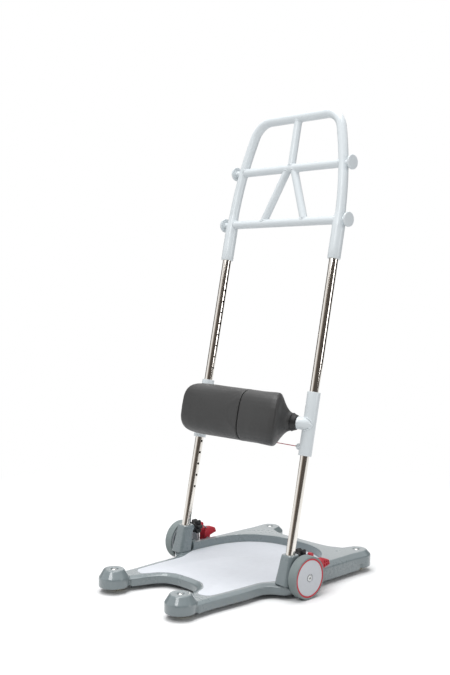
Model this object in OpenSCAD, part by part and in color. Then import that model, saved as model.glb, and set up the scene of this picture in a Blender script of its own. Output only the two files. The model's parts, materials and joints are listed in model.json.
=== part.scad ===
/* [Posts and lean] */
// Backward lean of the two posts, in degrees
post_lean = 11.6; // [9:0.2:14]
// Distance of each post from the middle plane
post_x = 188; // [182:1:192]
// Where the post axes meet the floor, measured from the middle of the base
post_foot_y = -21; // [-25:1:-17]
// Outside radius of a post
post_r = 11; // [10:0.25:12]
// Wall of a post tube
post_wall = 1.6; // [1.2:0.1:2.5]
// Lower end of a post, along the post from the floor
post_bottom_s = 44; // [42:0.5:50]
// Upper end of a post
post_top_s = 880; // [860:1:885]
// Radius of a locking hole in a post
hole_r = 3.2; // [3:0.1:4]
// Distance between two locking holes
hole_pitch = 30; // [28:0.5:31]
// Lowest hole of the lower row
low_hole_s = 205.5; // [200:0.5:210]
// Number of holes in the lower row
low_hole_count = 6; // [4:1:6]
// Lowest hole of the upper row
high_hole_s = 521.4; // [515:0.5:530]
// Number of holes in the upper row
high_hole_count = 8; // [5:1:8]

/* [Base casting] */
// Distance of the front castors from the middle plane
front_lobe_x = 123; // [117:1:128]
// Distance of the back castors from the middle plane
back_lobe_x = 156; // [152:1:160]
// Distance of the castors in front of and behind the middle
lobe_y = 284; // [276:1:292]
// Radius of the round skirt over a castor
lobe_r = 36.5; // [34:0.5:38]
// Radius of the flat on top of that skirt
lobe_top_r = 24.5; // [22:0.5:27]
// Height of the castor housings and of the raised back deck
deck_z = 54; // [51:0.5:58]
// Height where a front housing turns from its skirt to its cone
lobe_edge_z = 35; // [33:0.5:40]
// Lower edge of the skirt above the floor
skirt_z = 14; // [12.5:0.5:16]
// Lower edge of the low plate above the floor
plate_skirt_z = 10; // [9:0.5:12]
// Height of the outer edge of the low plate
rim_edge_z = 29; // [27:0.5:31]
// Height of the top of the low plate
plate_z = 34; // [33:0.25:36]
// Half width of the plate along its straight sides
waist_x = 162; // [158:1:166]
// Half width of the plate at the post sockets
shoulder_x = 206; // [204:0.5:207]
// Depth of the notch between the two front arms
notch_depth = 117; // [110:1:121]
// Depth of the hollow between the two back housings
back_notch_depth = 26; // [20:1:32]
// Width of the raised rim behind the mat
back_rim_w = 34; // [30:1:40]
// Half width of the back arms
arm_x = 191; // [189.5:0.25:192]
// Height where the outer slope of the back deck starts
deck_edge_z = 42; // [40:0.5:45]
// Width of that slope
deck_slope_w = 11; // [9:0.5:12]
// Width of the sloping rim of the low plate
rim_slope_w = 13; // [10:0.5:14]
// Wall of the casting
casting_wall = 5; // [4:0.25:6]
// Thickness of the plate under the mat recess
plate_thick = 6; // [5:0.25:7]

/* [Foot mat] */
// Thickness of the mat
mat_thick = 2.5; // [2:0.1:3]
// Strip of plate left bare between the notch and the mat
mat_margin = 15.5; // [14.5:0.25:17]

/* [Post sockets] */
// Top of the sockets above the floor
socket_top_z = 101; // [99:0.5:106]
// Width of a socket at its top
socket_top_w = 34; // [32:0.5:36]
// Width of a socket at its foot
socket_foot_w = 41; // [39:0.5:42]
// Radius of the upright corners of a socket
socket_corner_r = 9; // [7:0.5:11]
// Distance by which the foot of a socket stands forward of the post
socket_foot_shift = 2; // [1:0.25:3]
// Thread radius of the screws under the sockets
screw_r = 3; // [2.5:0.25:3.5]
// Radius of the bosses for those screws
screw_boss_r = 8.5; // [8:0.25:9]
// Length of those screws
screw_len = 24; // [22:0.5:25]

/* [Clamp knobs] */
// Height of the clamp screws
clamp_z = 90; // [88:0.5:92]
// Radius of a clamp screw
clamp_r = 4; // [3.5:0.25:4.5]
// Radius of the boss that holds a clamp screw
clamp_boss_r = 9; // [8:0.25:10]
// Distance by which that boss stands behind the socket
clamp_boss_len = 8; // [6:0.5:9]
// Radius of the core of a knob
knob_core_r = 12; // [11:0.25:13]
// Radius of one of the round grips of a knob
knob_grip_r = 6; // [5:0.25:6.5]
// Distance of the grips from the axis of a knob
knob_grip_at = 13.5; // [12:0.25:14]
// Number of grips round a knob
knob_grips = 6; // [5:1:7]
// Thickness of a knob
knob_len = 24; // [20:0.5:26]

/* [Side wheels] */
// Radius of a side wheel over its tyre
wheel_r = 50.7; // [49:0.1:51]
// Place of the wheel axles behind the middle of the base
wheel_y = 17.6; // [16:0.2:19]
// Inner face of a wheel from the middle plane
wheel_in_x = 211; // [210.5:0.25:212]
// Width of a tyre
tyre_w = 24; // [22:0.5:26]
// Thickness of a tyre
tyre_thick = 4.7; // [4:0.1:6]
// Radius of the rounded edges of a tyre
tyre_edge_r = 3; // [2:0.25:3.5]
// Width of the coloured ring beside the tyre
ring_w = 4; // [2.5:0.1:4.5]
// Thickness of the ring and of the disc cover
cover_thick = 3; // [2.5:0.1:4]
// Radius of the axle bolts
axle_r = 4; // [3.5:0.25:4.5]
// Radius of the head of an axle bolt
axle_head_r = 7.5; // [7:0.25:9]
// Outside radius of a wheel bearing
bearing_r = 11; // [10:0.25:12]
// Width of a wheel bearing
bearing_w = 7; // [6:0.25:8]
// Radius of the boss that holds an axle bolt
axle_boss_r = 9; // [8.5:0.25:9.5]

/* [Brakes] */
// Place of a pedal pivot behind the tyre
pivot_back = 9.7; // [9:0.1:11]
// Drop of a pedal pivot below the wheel axles
pivot_drop = 4.7; // [4:0.1:5.5]
// Radius of a pivot pin
pivot_r = 4; // [3.5:0.25:4.5]
// Radius of the boss that holds a pivot pin
pivot_boss_r = 7.5; // [7:0.25:8]
// Room between a back arm and its pedal
pedal_room = 2; // [1.5:0.1:2.5]
// Width of a brake pedal
pedal_w = 21; // [18:0.5:22]
// Reach of a pedal tread behind its pivot
pedal_reach = 34.5; // [32:0.5:37]
// Height of the front edge of a tread above the pivot
tread_rise = 31; // [28:0.5:34]
// Drop of a tread from its front edge to its tip
tread_drop = 4; // [2:0.5:6]
// Room between a pedal and its tyre when the brake is off
brake_gap = 2.8; // [2.7:0.1:3.4]
// Width of the flat metal strap of a brake
strap_w = 8; // [6:0.5:9]
// Thickness of that strap
strap_thick = 2.5; // [2:0.25:3]
// Room between the tab on the end of the strap and the clamp knob ahead of it
tab_room = 7; // [5:0.25:9]
// Downward slope of the strap towards the back, in degrees
strap_slope = 34; // [30:1:38]

/* [Castors] */
// Radius of a castor wheel
castor_r = 16; // [15.5:0.25:16.5]
// Width of a castor wheel
castor_w = 14; // [12:0.5:15]
// Distance of a castor wheel behind its upright pin
castor_trail = 11; // [10:0.25:12]
// Thickness of the two fork legs
fork_leg = 2.5; // [2:0.25:3]
// Height of the underside of a fork crown
crown_z = 34; // [33.8:0.1:34.5]
// Thickness of a fork crown
crown_thick = 3.5; // [3:0.25:4]
// Radius of a fork crown
crown_r = 12; // [11:0.25:13]
// Radius of an upright castor pin
king_r = 4; // [3.5:0.25:4.5]
// Radius of the head and of the foot of a castor pin
king_head_r = 6.5; // [6:0.25:7]
// Radius of the recess round the head of a castor pin
king_recess_r = 8.5; // [7.5:0.25:9]
// Radius of the axle of a castor wheel
castor_axle_r = 2.5; // [2:0.25:3]

/* [Handle] */
// Radius of the bent tube of the handle
hoop_r = 12.5; // [11.5:0.25:13]
// Wall of that tube
hoop_wall = 2; // [1.5:0.1:2.5]
// Bow radius of the two sides of the handle, on the tube's axis
side_bow_r = 855; // [800:5:950]
// Place along the posts from which the sides bow inwards
side_bow_s = 900; // [897:0.5:904]
// Lower rail, as a share of the way from the start of the bow to the top bar
low_rail_share = 0.038; // [0.03:0.001:0.06]
// Upper rail, as a share of the same way
high_rail_share = 0.533; // [0.51:0.001:0.555]
// Middle of the top bar
top_bar_s = 1189; // [1180:1:1198]
// Bend radius of the two top corners, on the tube's axis
corner_r = 56; // [50:1:62]
// Radius of the two rails
rail_r = 11; // [9.5:0.25:11.5]
// Radius of the middle bar and of the two struts
strut_r = 10; // [8.5:0.25:10.5]
// Wall of the rails, of the middle bar and of the struts
tube_wall = 1.8; // [1.4:0.1:2.5]
// Spread of the two struts at the lower rail, from the middle
strut_spread = 73; // [66:1:80]
// Outside radius of the sleeves that join posts and handle
sleeve_r = 16; // [15.5:0.25:17]
// Lower end of those sleeves
sleeve_low_s = 814; // [806:1:822]
// Upper end of those sleeves
sleeve_high_s = 893; // [889:0.5:895]
// Radius of the disc of a belt stud
stud_disc_r = 18.5; // [16:0.5:20]
// Thickness of that disc
stud_disc_thick = 6; // [5:0.25:8]
// Radius of the stem of a belt stud
stud_stem_r = 7; // [6:0.25:8]
// Distance of the outer face of a stud from the axis of its tube
stud_reach = 31; // [29:0.5:34]

/* [Leg support] */
// Lower end of the two sliding sleeves
slide_low_s = 336; // [330:1:342]
// Length of the sliding sleeves
slide_len = 153; // [145:1:160]
// Outside radius of the sliding sleeves
slide_r = 16; // [15.5:0.25:17]
// Middle of the cross tube, along the posts from the floor
bar_s = 411; // [406:1:416]
// Distance of the ends of the bowed cross tube in front of the posts
bar_ahead = 24; // [23:0.25:26]
// Slope of the bowed cross tube at its ends, in degrees
bar_bow = 22; // [20:0.5:24]
// Radius of the cross tube
bar_r = 15; // [14:0.25:15.5]
// Wall of the cross tube
bar_wall = 2; // [1.5:0.1:2.5]
// Height of the pad
pad_h = 128; // [116:1:140]
// Reach of the pad in front of the cross tube, at its ends
pad_front = 72; // [66:1:78]
// Reach of the pad behind the cross tube, in the middle
pad_back = 28; // [24:0.5:30]
// Outward tilt of the two ends of the pad, in degrees
pad_tilt = 25; // [22:0.5:27]
// Place of the joint between the two halves of the pad
pad_split_x = 50; // [30:1:60]
// Width of that joint
pad_split_gap = 1.2; // [0.8:0.1:2]
// Radius of the black collars at the ends of the pad
collar_r = 21; // [19:0.25:22]
// Length of those collars
collar_len = 12; // [10:0.5:14]
// Height of the locking pins, along the posts from the floor
pin_s = 355.5; // [352:0.5:358]
// Radius of a locking pin
pin_r = 2.8; // [2.5:0.1:2.9]
// Radius of the boss that guides a locking pin
pin_boss_r = 8; // [7:0.25:9]
// Distance by which that boss stands inside its sleeve
pin_boss_len = 9; // [7:0.5:12]
// Distance by which a locking pin stands out of its boss
pin_out = 7; // [6:0.5:9]
// Radius of the release wire
wire_r = 1; // [0.8:0.05:1.3]
// Radius of the grip in the middle of the release wire
grip_r = 6; // [5:0.25:7]
// Half length of that grip
grip_half_len = 45; // [38:1:52]

/* [Fits] */
// Play between a turning or sliding part and what it runs on
run_fit = 0.05; // [0.02:0.01:0.09]
// Gap between parts that move past each other
move_gap = 0.5; // [0.35:0.05:0.7]
// Gap between a part at rest and the seat that stops it
seat_gap = 0.3; // [0.3:0.02:0.4]
// Overrun of a cut beyond the face that it opens
cut_over = 1; // [0.8:0.1:1.2]

/* [Hidden] */
$fn = 64;

LEFT = -1;
RIGHT = 1;
FRONT = -1;
BACK = 1;

casting_grey = "#7d8789";
mat_grey = "#dfe2e8";
tyre_grey = "#8d9696";
cover_grey = "#d5d8dd";
signal_red = "#c8283c";
handle_white = "#dfe5e8";
steel = "#b9bcbd";
pad_charcoal = "#3f3f3f";
soft_black = "#1c1c1e";
castor_amber = "#cfc39a";

// Outlines are drawn for the right half, from front to back
notch_y = notch_depth - lobe_y;
back_edge_y = lobe_y - back_notch_depth;
// Notch edge: shares of the front castor distance and of the notch depth
notch_shares = [[0, 0], [0.2, 0.005], [0.4, 0.06], [0.49, 0.115], [0.555, 0.2], [0.645, 0.39],
    [0.7, 0.6], [0.8, 0.86]];
// Outer edge of a front arm: share of the way from castor skirt to waist, share of the castor distance
arm_side_shares = [[0, -0.97], [0.05, -0.75], [0.5, -0.6], [1, -0.44], [1, -0.25]];
arm_start_share = 0.9;
// Shoulder round a post socket: share of the way from waist to shoulder, share of the castor distance
shoulder_shares = [[0.2, -0.175], [0.53, -0.135], [0.88, -0.1], [1, -0.04], [1, 0.045]];
// Step from the shoulder to a back arm, the same two shares
step_shares = [[0.7, 0.105], [0.2, 0.175], [0, 0.25], [-0.03, 0.5], [-0.1, 0.8], [-0.1, 0.975]];
// Back edge: shares of the back castor distance and of the back notch depth
back_edge_shares = [[0.86, 0.95], [0.7, 0.5], [0.56, 0.15], [0.38, 0.01], [0, 0]];
// Front of the mat: shares of the waist and of the notch depth
mat_front_shares = [[0, 0], [0.235, 0.017], [0.368, 0.085], [0.507, 0.254], [0.578, 0.45], [0.652, 0.547],
    [0.778, 0.504], [0.827, 0.376], [0.846, 0.094]];
// Sides of the mat: shares of the waist and of the castor distance
mat_side_shares = [[0.858, -0.412], [0.864, -0.285], [0.87, -0.208], [0.907, -0.141], [0.988, -0.046],
    [1.025, 0.014], [1.037, 0.067]];
// Curved back wall of the mat recess, as a squared ellipse
wall_x_share = 1.037;
wall_start_share = 0.14;
wall_power = 2.55;
wall_x = waist_x * wall_x_share;
wall_start_y = lobe_y * wall_start_share;
wall_reach = back_edge_y - back_rim_w - wall_start_y;
wall_steps = 18;
outline_steps = 4;

function post_y(z) = post_foot_y + z * tan(post_lean);
function spline_at(a, b, c, d, t) =
    0.5 * (2 * b + (c - a) * t + (2 * a - 5 * b + 4 * c - d) * t * t + (3 * b - a - 3 * c + d) * t * t * t);
function before(pts, i) = i == 0 ? 2 * pts[0] - pts[1] : pts[i - 1];
function after(pts, i) = i + 2 < len(pts) ? pts[i + 2] : 2 * pts[i + 1] - pts[i];
// A smooth open curve through hand-set points
function smooth(pts, steps) = concat(
    [for (i = [0 : len(pts) - 2]) for (k = [0 : steps - 1])
        spline_at(before(pts, i), pts[i], pts[i + 1], after(pts, i), k / steps)],
    [pts[len(pts) - 1]]);
function backwards(pts) = [for (i = [len(pts) - 1 : -1 : 0]) pts[i]];
function mirrored(pts) = [for (p = pts) [-p[0], p[1]]];
// Both halves of an outline whose first and last points lie on the middle plane
function whole(half) = concat(half, [for (p = backwards(mirrored(half))) if (p[0] < 0) p]);
function wrap(i, n) = (i + n) % n;
function unit(v) = v / norm(v);
function left_of(v) = [-v[1], v[0]];
// Moves the edges of an anticlockwise closed outline inwards, with mitred corners
function inset(pts, by) = [for (i = [0 : len(pts) - 1])
    let (n = len(pts), p = pts[i])
    let (a = left_of(unit(p - pts[wrap(i - 1, n)])), b = left_of(unit(pts[wrap(i + 1, n)] - p)))
    p + by * (a + b) / (1 + a * b)];
// The middles of the edges of a closed outline
function midway(pts) = [for (i = [0 : len(pts) - 1]) (pts[i] + pts[wrap(i + 1, len(pts))]) / 2];
function raised(pts, z) = [for (p = pts) [p[0], p[1], z]];

notch_pts = smooth([for (p = notch_shares) [p[0] * front_lobe_x, notch_y - p[1] * notch_depth]],
    outline_steps);
arm_start_x = front_lobe_x + arm_start_share * lobe_r;
side_pts = smooth(concat(
    [for (p = arm_side_shares) [arm_start_x + p[0] * (waist_x - arm_start_x), p[1] * lobe_y]],
    [for (p = shoulder_shares) [waist_x + p[0] * (shoulder_x - waist_x), p[1] * lobe_y]],
    [for (p = step_shares) [arm_x + p[0] * (shoulder_x - arm_x), p[1] * lobe_y]]), outline_steps);
back_pts = smooth([for (p = back_edge_shares) [p[0] * back_lobe_x, back_edge_y + p[1] * back_notch_depth]],
    outline_steps);
// Points of a curve that are not too near one of its ends for the rim to follow them
function clear_of(pts, corner, room) = [for (q = pts) if (q == corner || norm(q - corner) > room) q];
tip_room = 2 * rim_slope_w;
notch_line = clear_of(notch_pts, notch_pts[len(notch_pts) - 1], tip_room);
side_line = clear_of(clear_of(side_pts, side_pts[0], tip_room), side_pts[len(side_pts) - 1], tip_room);
plate_outline = whole(concat(notch_line, side_line, clear_of(back_pts, back_pts[0], tip_room)));

// The curved back wall of the mat recess, from its right end to the middle, grown outwards by a margin
function wall_curve(grow) = [for (k = [0 : wall_steps]) let (a = 90 * k / wall_steps)
    [(wall_x + grow) * pow(cos(a), 2 / wall_power),
        wall_start_y + (wall_reach + grow) * pow(sin(a), 2 / wall_power)]];
mat_front_y = notch_y + mat_margin;
mat_outline = whole(concat(
    smooth(concat(
        [for (p = mat_front_shares) [p[0] * waist_x, mat_front_y - p[1] * notch_depth]],
        [for (p = mat_side_shares) [p[0] * waist_x, p[1] * lobe_y]]), outline_steps),
    wall_curve(0)));

// The raised back deck: its outer edge runs round the castor housings,
// and its inner edge is the wall of the recess
deck_front_share = 0.49;
deck_front_y = post_y(deck_z) + deck_front_share * socket_foot_w;
deck_arc_steps = 12;
deck_arc_end = 150;
deck_lap = 0.4 * cut_over;
deck_side_pts = [for (p = side_pts) if (p[1] > deck_front_y && p[1] < lobe_y - lobe_r) p];
deck_outer = concat(
    [[deck_side_pts[0][0], deck_front_y]],
    deck_side_pts,
    [for (k = [0 : deck_arc_steps]) let (a = deck_arc_end * k / deck_arc_steps)
        [back_lobe_x + lobe_r * cos(a), lobe_y + lobe_r * sin(a)]],
    [for (p = back_pts) if (p[0] < back_lobe_x - lobe_r) p]);
function wall_line(grow, y0) = concat(
    [[-wall_x - grow, y0]],
    [for (p = mirrored(wall_curve(grow))) if (p[1] > y0) p],
    [for (p = backwards(wall_curve(grow))) if (p[1] > y0 && p[0] > 0) p],
    [[wall_x + grow, y0]]);
deck_line = whole(deck_outer);
deck_ring = concat(deck_line, wall_line(0, deck_front_y));
// The outer edge of the deck moved inwards, with its two ends kept on a line across the deck
function deck_edge(by, back) =
    let (moved = inset(deck_ring, by), last = len(deck_line) - 1) [for (i = [0 : last])
    i == 0 || i == last ? [deck_ring[i][0] - sign(deck_ring[i][0]) * by, deck_front_y + back] : moved[i]];

function ring_faces(a, b, n) = [for (i = [0 : n - 1]) let (j = wrap(i + 1, n))
    each [[a + i, b + i, b + j], [a + i, b + j, a + j]]];
// A solid without ends through rings of equal length, the last joined to the first
module endless_loft(rings) {
    n = len(rings[0]);
    count = len(rings);
    polyhedron([for (r = rings) each r],
        [for (k = [0 : count - 1]) each ring_faces(k * n, wrap(k + 1, count) * n, n)]);
}
// A closed solid through rings of equal length, each anticlockwise seen from the last ring
module loft(rings) {
    n = len(rings[0]);
    last = len(rings) - 1;
    polyhedron(
        [for (r = rings) each r],
        concat(
            [[for (i = [0 : n - 1]) i]],
            [for (k = [0 : last - 1]) each ring_faces(k * n, (k + 1) * n, n)],
            [[for (i = [n - 1 : -1 : 0]) last * n + i]]));
}

// The frame of the leaning posts: Z runs along them from the floor, and -Y points ahead of them
module mast_frame() {
    translate([0, post_foot_y, 0]) rotate([-post_lean, 0, 0]) children();
}
module along_x(x0, x1, r) {
    translate([x0, 0, 0]) rotate([0, 90, 0]) cylinder(r = r, h = x1 - x0);
}
module along_y(y0, y1, r) {
    translate([0, y1, 0]) rotate([90, 0, 0]) cylinder(r = r, h = y1 - y0);
}
// A round bar between two points of the plane of the posts
module bar_between(a, b, r) {
    d = b - a;
    translate([a[0], 0, a[1]]) rotate([0, atan2(d[0], d[1]), 0]) cylinder(r = r, h = norm(d));
}
module on_side(side) {
    mirror([side == LEFT ? 1 : 0, 0, 0]) children();
}
function rounded_box(w, d, r) = [for (k = [0 : corner_steps * 4 - 1])
    let (q = floor(k / corner_steps), a = 90 * q + 90 * (k % corner_steps) / (corner_steps - 1))
    [(q == 0 || q == 3 ? 1 : -1) * (w / 2 - r) + r * cos(a), (q < 2 ? 1 : -1) * (d / 2 - r) + r * sin(a)]];
corner_steps = 6;
function shifted(pts, by) = [for (p = pts) p + by];

// Base casting
hollow_z = plate_z - mat_thick - plate_thick;
lobe_roof_z = deck_z - casting_wall;
king_head_thick = king_r / 2;
king_sink = 0.3 * king_head_thick;
king_seat_z = deck_z - king_sink - king_head_thick;
king_boss_z = crown_z + crown_thick + seat_gap;
king_boss_r = king_r + casting_wall;
deck_foot_z = rim_edge_z - 2 * cut_over;
lobe_skirt_z = skirt_z - cut_over;
socket_y = post_y(plate_z) - socket_foot_shift;
axle_boss_len = 8.5 * axle_r;
axle_face_x = wheel_in_x - move_gap;
pivot_boss_len = 4 * pivot_r;
pedal_in_x = arm_x + pedal_room;
pivot_y = wheel_y + wheel_r + pivot_back;
pivot_z = wheel_r - pivot_drop;
pivot_face_x = pedal_in_x - move_gap;
screw_head_r = 1.7 * screw_r;
screw_head_thick = screw_r;
screw_spread = 0.3 * socket_foot_w;

module lobe_solid(edge_z, top_r) {
    rotate_extrude() polygon([
        [0, lobe_skirt_z], [lobe_r, lobe_skirt_z], [lobe_r, edge_z], [top_r, deck_z], [0, deck_z]]);
}
module lobe_hollow() {
    r = lobe_r - casting_wall;
    rotate_extrude() polygon([
        [0, plate_skirt_z - cut_over], [r, plate_skirt_z - cut_over], [r, lobe_edge_z - casting_wall / 2],
        [lobe_top_r - casting_wall, lobe_roof_z], [king_boss_r, lobe_roof_z],
        [king_boss_r, king_boss_z], [0, king_boss_z]]);
}
module king_hole() {
    translate([0, 0, skirt_z]) cylinder(r = king_r, h = deck_z);
    translate([0, 0, king_seat_z]) cylinder(r = king_recess_r, h = deck_z);
}
module at_lobes(ends) {
    for (side = [LEFT, RIGHT]) for (end = ends)
        translate([side * (end == FRONT ? front_lobe_x : back_lobe_x), end * lobe_y, 0]) children();
}
// The low plate: a hollow foot, a core with the mat recess, and a sloping rim along its front and sides.
// Each piece laps into its neighbour by a small step, so that no two of their faces lie in one plane.
rim_lap = 1.5 * cut_over;
step = 0.3 * cut_over;
rim_end_y = wheel_y - wheel_r;
core_end_y = rim_end_y - 2 * rim_lap;
foot_edge = midway(inset(plate_outline, 2 * deck_lap));
plate_edge = inset(plate_outline, deck_lap);
plate_rim_top = inset(plate_outline, rim_slope_w);
plate_rim_in = inset(plate_outline, rim_slope_w + rim_lap);
plate_core_edge = inset(plate_outline, rim_slope_w - step);
plate_core = [for (i = [0 : len(plate_outline) - 1])
    plate_outline[i][1] < core_end_y ? plate_core_edge[i] : inset(plate_outline, rim_lap)[i]];
rim_foot_z = rim_edge_z - cut_over;
rim_rings = [for (i = [0 : len(plate_outline) - 1]) [
    [plate_edge[i][0], plate_edge[i][1], rim_foot_z - step],
    [plate_edge[i][0], plate_edge[i][1], rim_edge_z],
    [plate_rim_top[i][0], plate_rim_top[i][1], plate_z - step],
    [plate_rim_in[i][0], plate_rim_in[i][1], plate_z - step],
    [plate_rim_in[i][0], plate_rim_in[i][1], rim_foot_z - step]]];
half_count = len([for (q = plate_outline) if (q[0] >= 0) q]);
rim_half = [for (i = [0 : half_count - 1]) if (plate_outline[i][1] < rim_end_y) i];
rim_other = [for (i = [half_count : len(plate_outline) - 1]) if (plate_outline[i][1] < rim_end_y) i];
module low_plate() {
    difference() {
        translate([0, 0, plate_skirt_z]) linear_extrude(rim_foot_z - plate_skirt_z) polygon(foot_edge);
        translate([0, 0, plate_skirt_z - cut_over]) linear_extrude(hollow_z - plate_skirt_z + cut_over)
            polygon(inset(plate_outline, casting_wall));
    }
    difference() {
        translate([0, 0, hollow_z + cut_over]) linear_extrude(plate_z - hollow_z - cut_over)
            polygon(midway(plate_core));
        translate([0, 0, plate_z - mat_thick]) linear_extrude(plate_z) polygon(mat_outline);
    }
    loft([for (i = concat(rim_other, rim_half)) backwards(rim_rings[i])]);
}
module back_deck() {
    edge = deck_edge(0, step);
    top = deck_edge(deck_slope_w, step);
    in = deck_edge(deck_slope_w + rim_lap, step);
    loft([for (i = [0 : len(edge) - 1]) [
        [in[i][0], in[i][1], deck_foot_z - step], [in[i][0], in[i][1], deck_z - step],
        [top[i][0], top[i][1], deck_z - step], [edge[i][0], edge[i][1], deck_edge_z],
        [edge[i][0], edge[i][1], deck_foot_z - step]]]);
    translate([0, 0, deck_foot_z]) linear_extrude(deck_z - deck_foot_z)
        polygon(concat(deck_edge(deck_slope_w - step, 0), wall_line(0, deck_front_y)));
}
module deck_skirt() {
    translate([0, 0, lobe_skirt_z]) cylinder(r = lobe_r - deck_lap, h = deck_edge_z - step - lobe_skirt_z);
}
module at_wheel_axis() {
    translate([0, wheel_y, wheel_r]) children();
}
module at_pivot() {
    translate([0, pivot_y, pivot_z]) children();
}
module at_screws() {
    for (dx = [-screw_spread, screw_spread]) translate([post_x + dx, socket_y, 0]) children();
}
module base_casting() color(casting_grey) difference() {
    union() {
        low_plate();
        back_deck();
        at_lobes([FRONT]) lobe_solid(lobe_edge_z, lobe_top_r);
        at_lobes([BACK]) deck_skirt();
        for (side = [LEFT, RIGHT]) on_side(side) {
            at_screws() translate([0, 0, skirt_z + step])
                cylinder(r = screw_boss_r, h = hollow_z - skirt_z + cut_over);
            at_wheel_axis() along_x(axle_face_x - axle_boss_len, axle_face_x, axle_boss_r);
            at_pivot() along_x(pivot_face_x - pivot_boss_len, pivot_face_x, pivot_boss_r);
        }
    }
    at_lobes([FRONT, BACK]) lobe_hollow();
    at_lobes([FRONT, BACK]) king_hole();
    for (side = [LEFT, RIGHT]) on_side(side) {
        at_wheel_axis() along_x(axle_face_x - axle_boss_len - cut_over, axle_face_x + cut_over, axle_r);
        at_pivot() along_x(pivot_face_x - pivot_boss_len - cut_over, pivot_face_x + cut_over, pivot_r);
        at_screws() {
            translate([0, 0, skirt_z]) cylinder(r = screw_r, h = plate_z);
            translate([0, 0, skirt_z - cut_over])
                cylinder(r = screw_head_r, h = screw_head_thick + step + cut_over);
        }
    }
}
module foot_mat() color(mat_grey)
    translate([0, 0, plate_z - mat_thick]) linear_extrude(mat_thick) polygon(mat_outline);

// Post sockets and the clamp screws that hold the posts in them
socket_edge = socket_corner_r / 6;
clamp_face_y = post_y(clamp_z) + socket_top_w / 2 + clamp_boss_len;
clamp_tip_y = post_y(clamp_z) + post_r / cos(post_lean) + clamp_r * tan(post_lean) + seat_gap;
module post_socket() color(casting_grey) difference() {
    union() {
        loft([
            shifted(raised(rounded_box(socket_foot_w, socket_foot_w, socket_corner_r), plate_z),
                [post_x, socket_y, 0]),
            shifted(raised(rounded_box(socket_top_w, socket_top_w, socket_corner_r),
                socket_top_z - socket_edge), [post_x, post_y(socket_top_z - socket_edge), 0]),
            shifted(raised(rounded_box(socket_top_w - 2 * socket_edge, socket_top_w - 2 * socket_edge,
                socket_corner_r - socket_edge), socket_top_z), [post_x, post_y(socket_top_z), 0])]);
        translate([post_x, 0, clamp_z]) along_y(post_y(clamp_z), clamp_face_y, clamp_boss_r);
    }
    mast_frame() translate([post_x, 0, post_bottom_s - seat_gap])
        cylinder(r = post_r + run_fit, h = socket_top_z);
    translate([post_x, 0, clamp_z]) along_y(post_y(clamp_z), clamp_face_y + cut_over, clamp_r + run_fit);
    at_screws() cylinder(r = screw_r, h = skirt_z + screw_head_thick + screw_len);
}
module left_post_socket() on_side(LEFT) post_socket();
module right_post_socket() on_side(RIGHT) post_socket();
module socket_screws() color(steel) for (side = [LEFT, RIGHT]) on_side(side) at_screws() {
    translate([0, 0, skirt_z]) cylinder(r = screw_head_r, h = screw_head_thick);
    translate([0, 0, skirt_z]) cylinder(r = screw_r, h = screw_head_thick + screw_len);
}
module clamp_screw() color(steel)
    translate([post_x, 0, clamp_z]) along_y(clamp_tip_y, clamp_face_y + move_gap + knob_len / 2, clamp_r);
module clamp_knob() color(soft_black) translate([post_x, 0, clamp_z]) difference() {
    union() {
        along_y(clamp_face_y + move_gap, clamp_face_y + move_gap + knob_len, knob_core_r);
        for (k = [0 : knob_grips - 1]) rotate([0, 360 * k / knob_grips, 0]) translate([knob_grip_at, 0, 0])
            along_y(clamp_face_y + move_gap + knob_len / 4,
                clamp_face_y + move_gap + knob_len * 7 / 8, knob_grip_r);
    }
    along_y(clamp_face_y, clamp_face_y + move_gap + knob_len / 2, clamp_r);
}
module left_clamp_knob() on_side(LEFT) clamp_knob();
module right_clamp_knob() on_side(RIGHT) clamp_knob();
module left_clamp_screw() on_side(LEFT) clamp_screw();
module right_clamp_screw() on_side(RIGHT) clamp_screw();

// Side wheels, drawn with their axis along Z from the inner face outwards
tyre_in_r = wheel_r - tyre_thick;
cover_r = tyre_in_r - ring_w;
hub_w = tyre_w - cover_thick;
hub_boss_r = bearing_r + casting_wall;
hub_rim = casting_wall;
hub_dish = hub_w / 2;
spacer_wall = 0.75 * axle_r;
module wheel_frame(side) {
    translate([side * wheel_in_x, wheel_y, wheel_r]) rotate([0, side * 90, 0]) children();
}
module tyre() color(tyre_grey) rotate_extrude() difference() {
    translate([tyre_in_r, 0]) square([tyre_thick, tyre_w]);
    for (z = [0, tyre_w]) translate([wheel_r, z]) rotate(45) square(tyre_edge_r * sqrt(2), center = true);
}
module wheel_hub() color(cover_grey) difference() {
    rotate_extrude() polygon([
        [bearing_r, 0], [hub_boss_r, 0], [hub_boss_r, hub_dish], [tyre_in_r - hub_rim, hub_dish],
        [tyre_in_r - hub_rim, 0], [tyre_in_r, 0], [tyre_in_r, hub_w], [bearing_r, hub_w],
        [bearing_r, hub_w - bearing_w], [axle_r + spacer_wall, hub_w - bearing_w],
        [axle_r + spacer_wall, bearing_w], [bearing_r, bearing_w]]);
}
module trim_ring() color(signal_red) translate([0, 0, hub_w]) difference() {
    cylinder(r = tyre_in_r, h = cover_thick);
    translate([0, 0, -cut_over]) cylinder(r = cover_r, h = cover_thick + 2 * cut_over);
}
module hub_cover() color(cover_grey) translate([0, 0, hub_w]) difference() {
    cylinder(r = cover_r, h = cover_thick);
    translate([0, 0, -cut_over]) cylinder(r = axle_head_r + move_gap, h = cover_thick + 2 * cut_over);
}
module wheel_bearings() color(steel) for (z = [0, hub_w - bearing_w]) translate([0, 0, z]) difference() {
    cylinder(r = bearing_r, h = bearing_w);
    translate([0, 0, -cut_over]) cylinder(r = axle_r + run_fit, h = bearing_w + 2 * cut_over);
}
module left_tyre() wheel_frame(LEFT) tyre();
module right_tyre() wheel_frame(RIGHT) tyre();
module left_wheel_hub() wheel_frame(LEFT) wheel_hub();
module right_wheel_hub() wheel_frame(RIGHT) wheel_hub();
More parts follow.
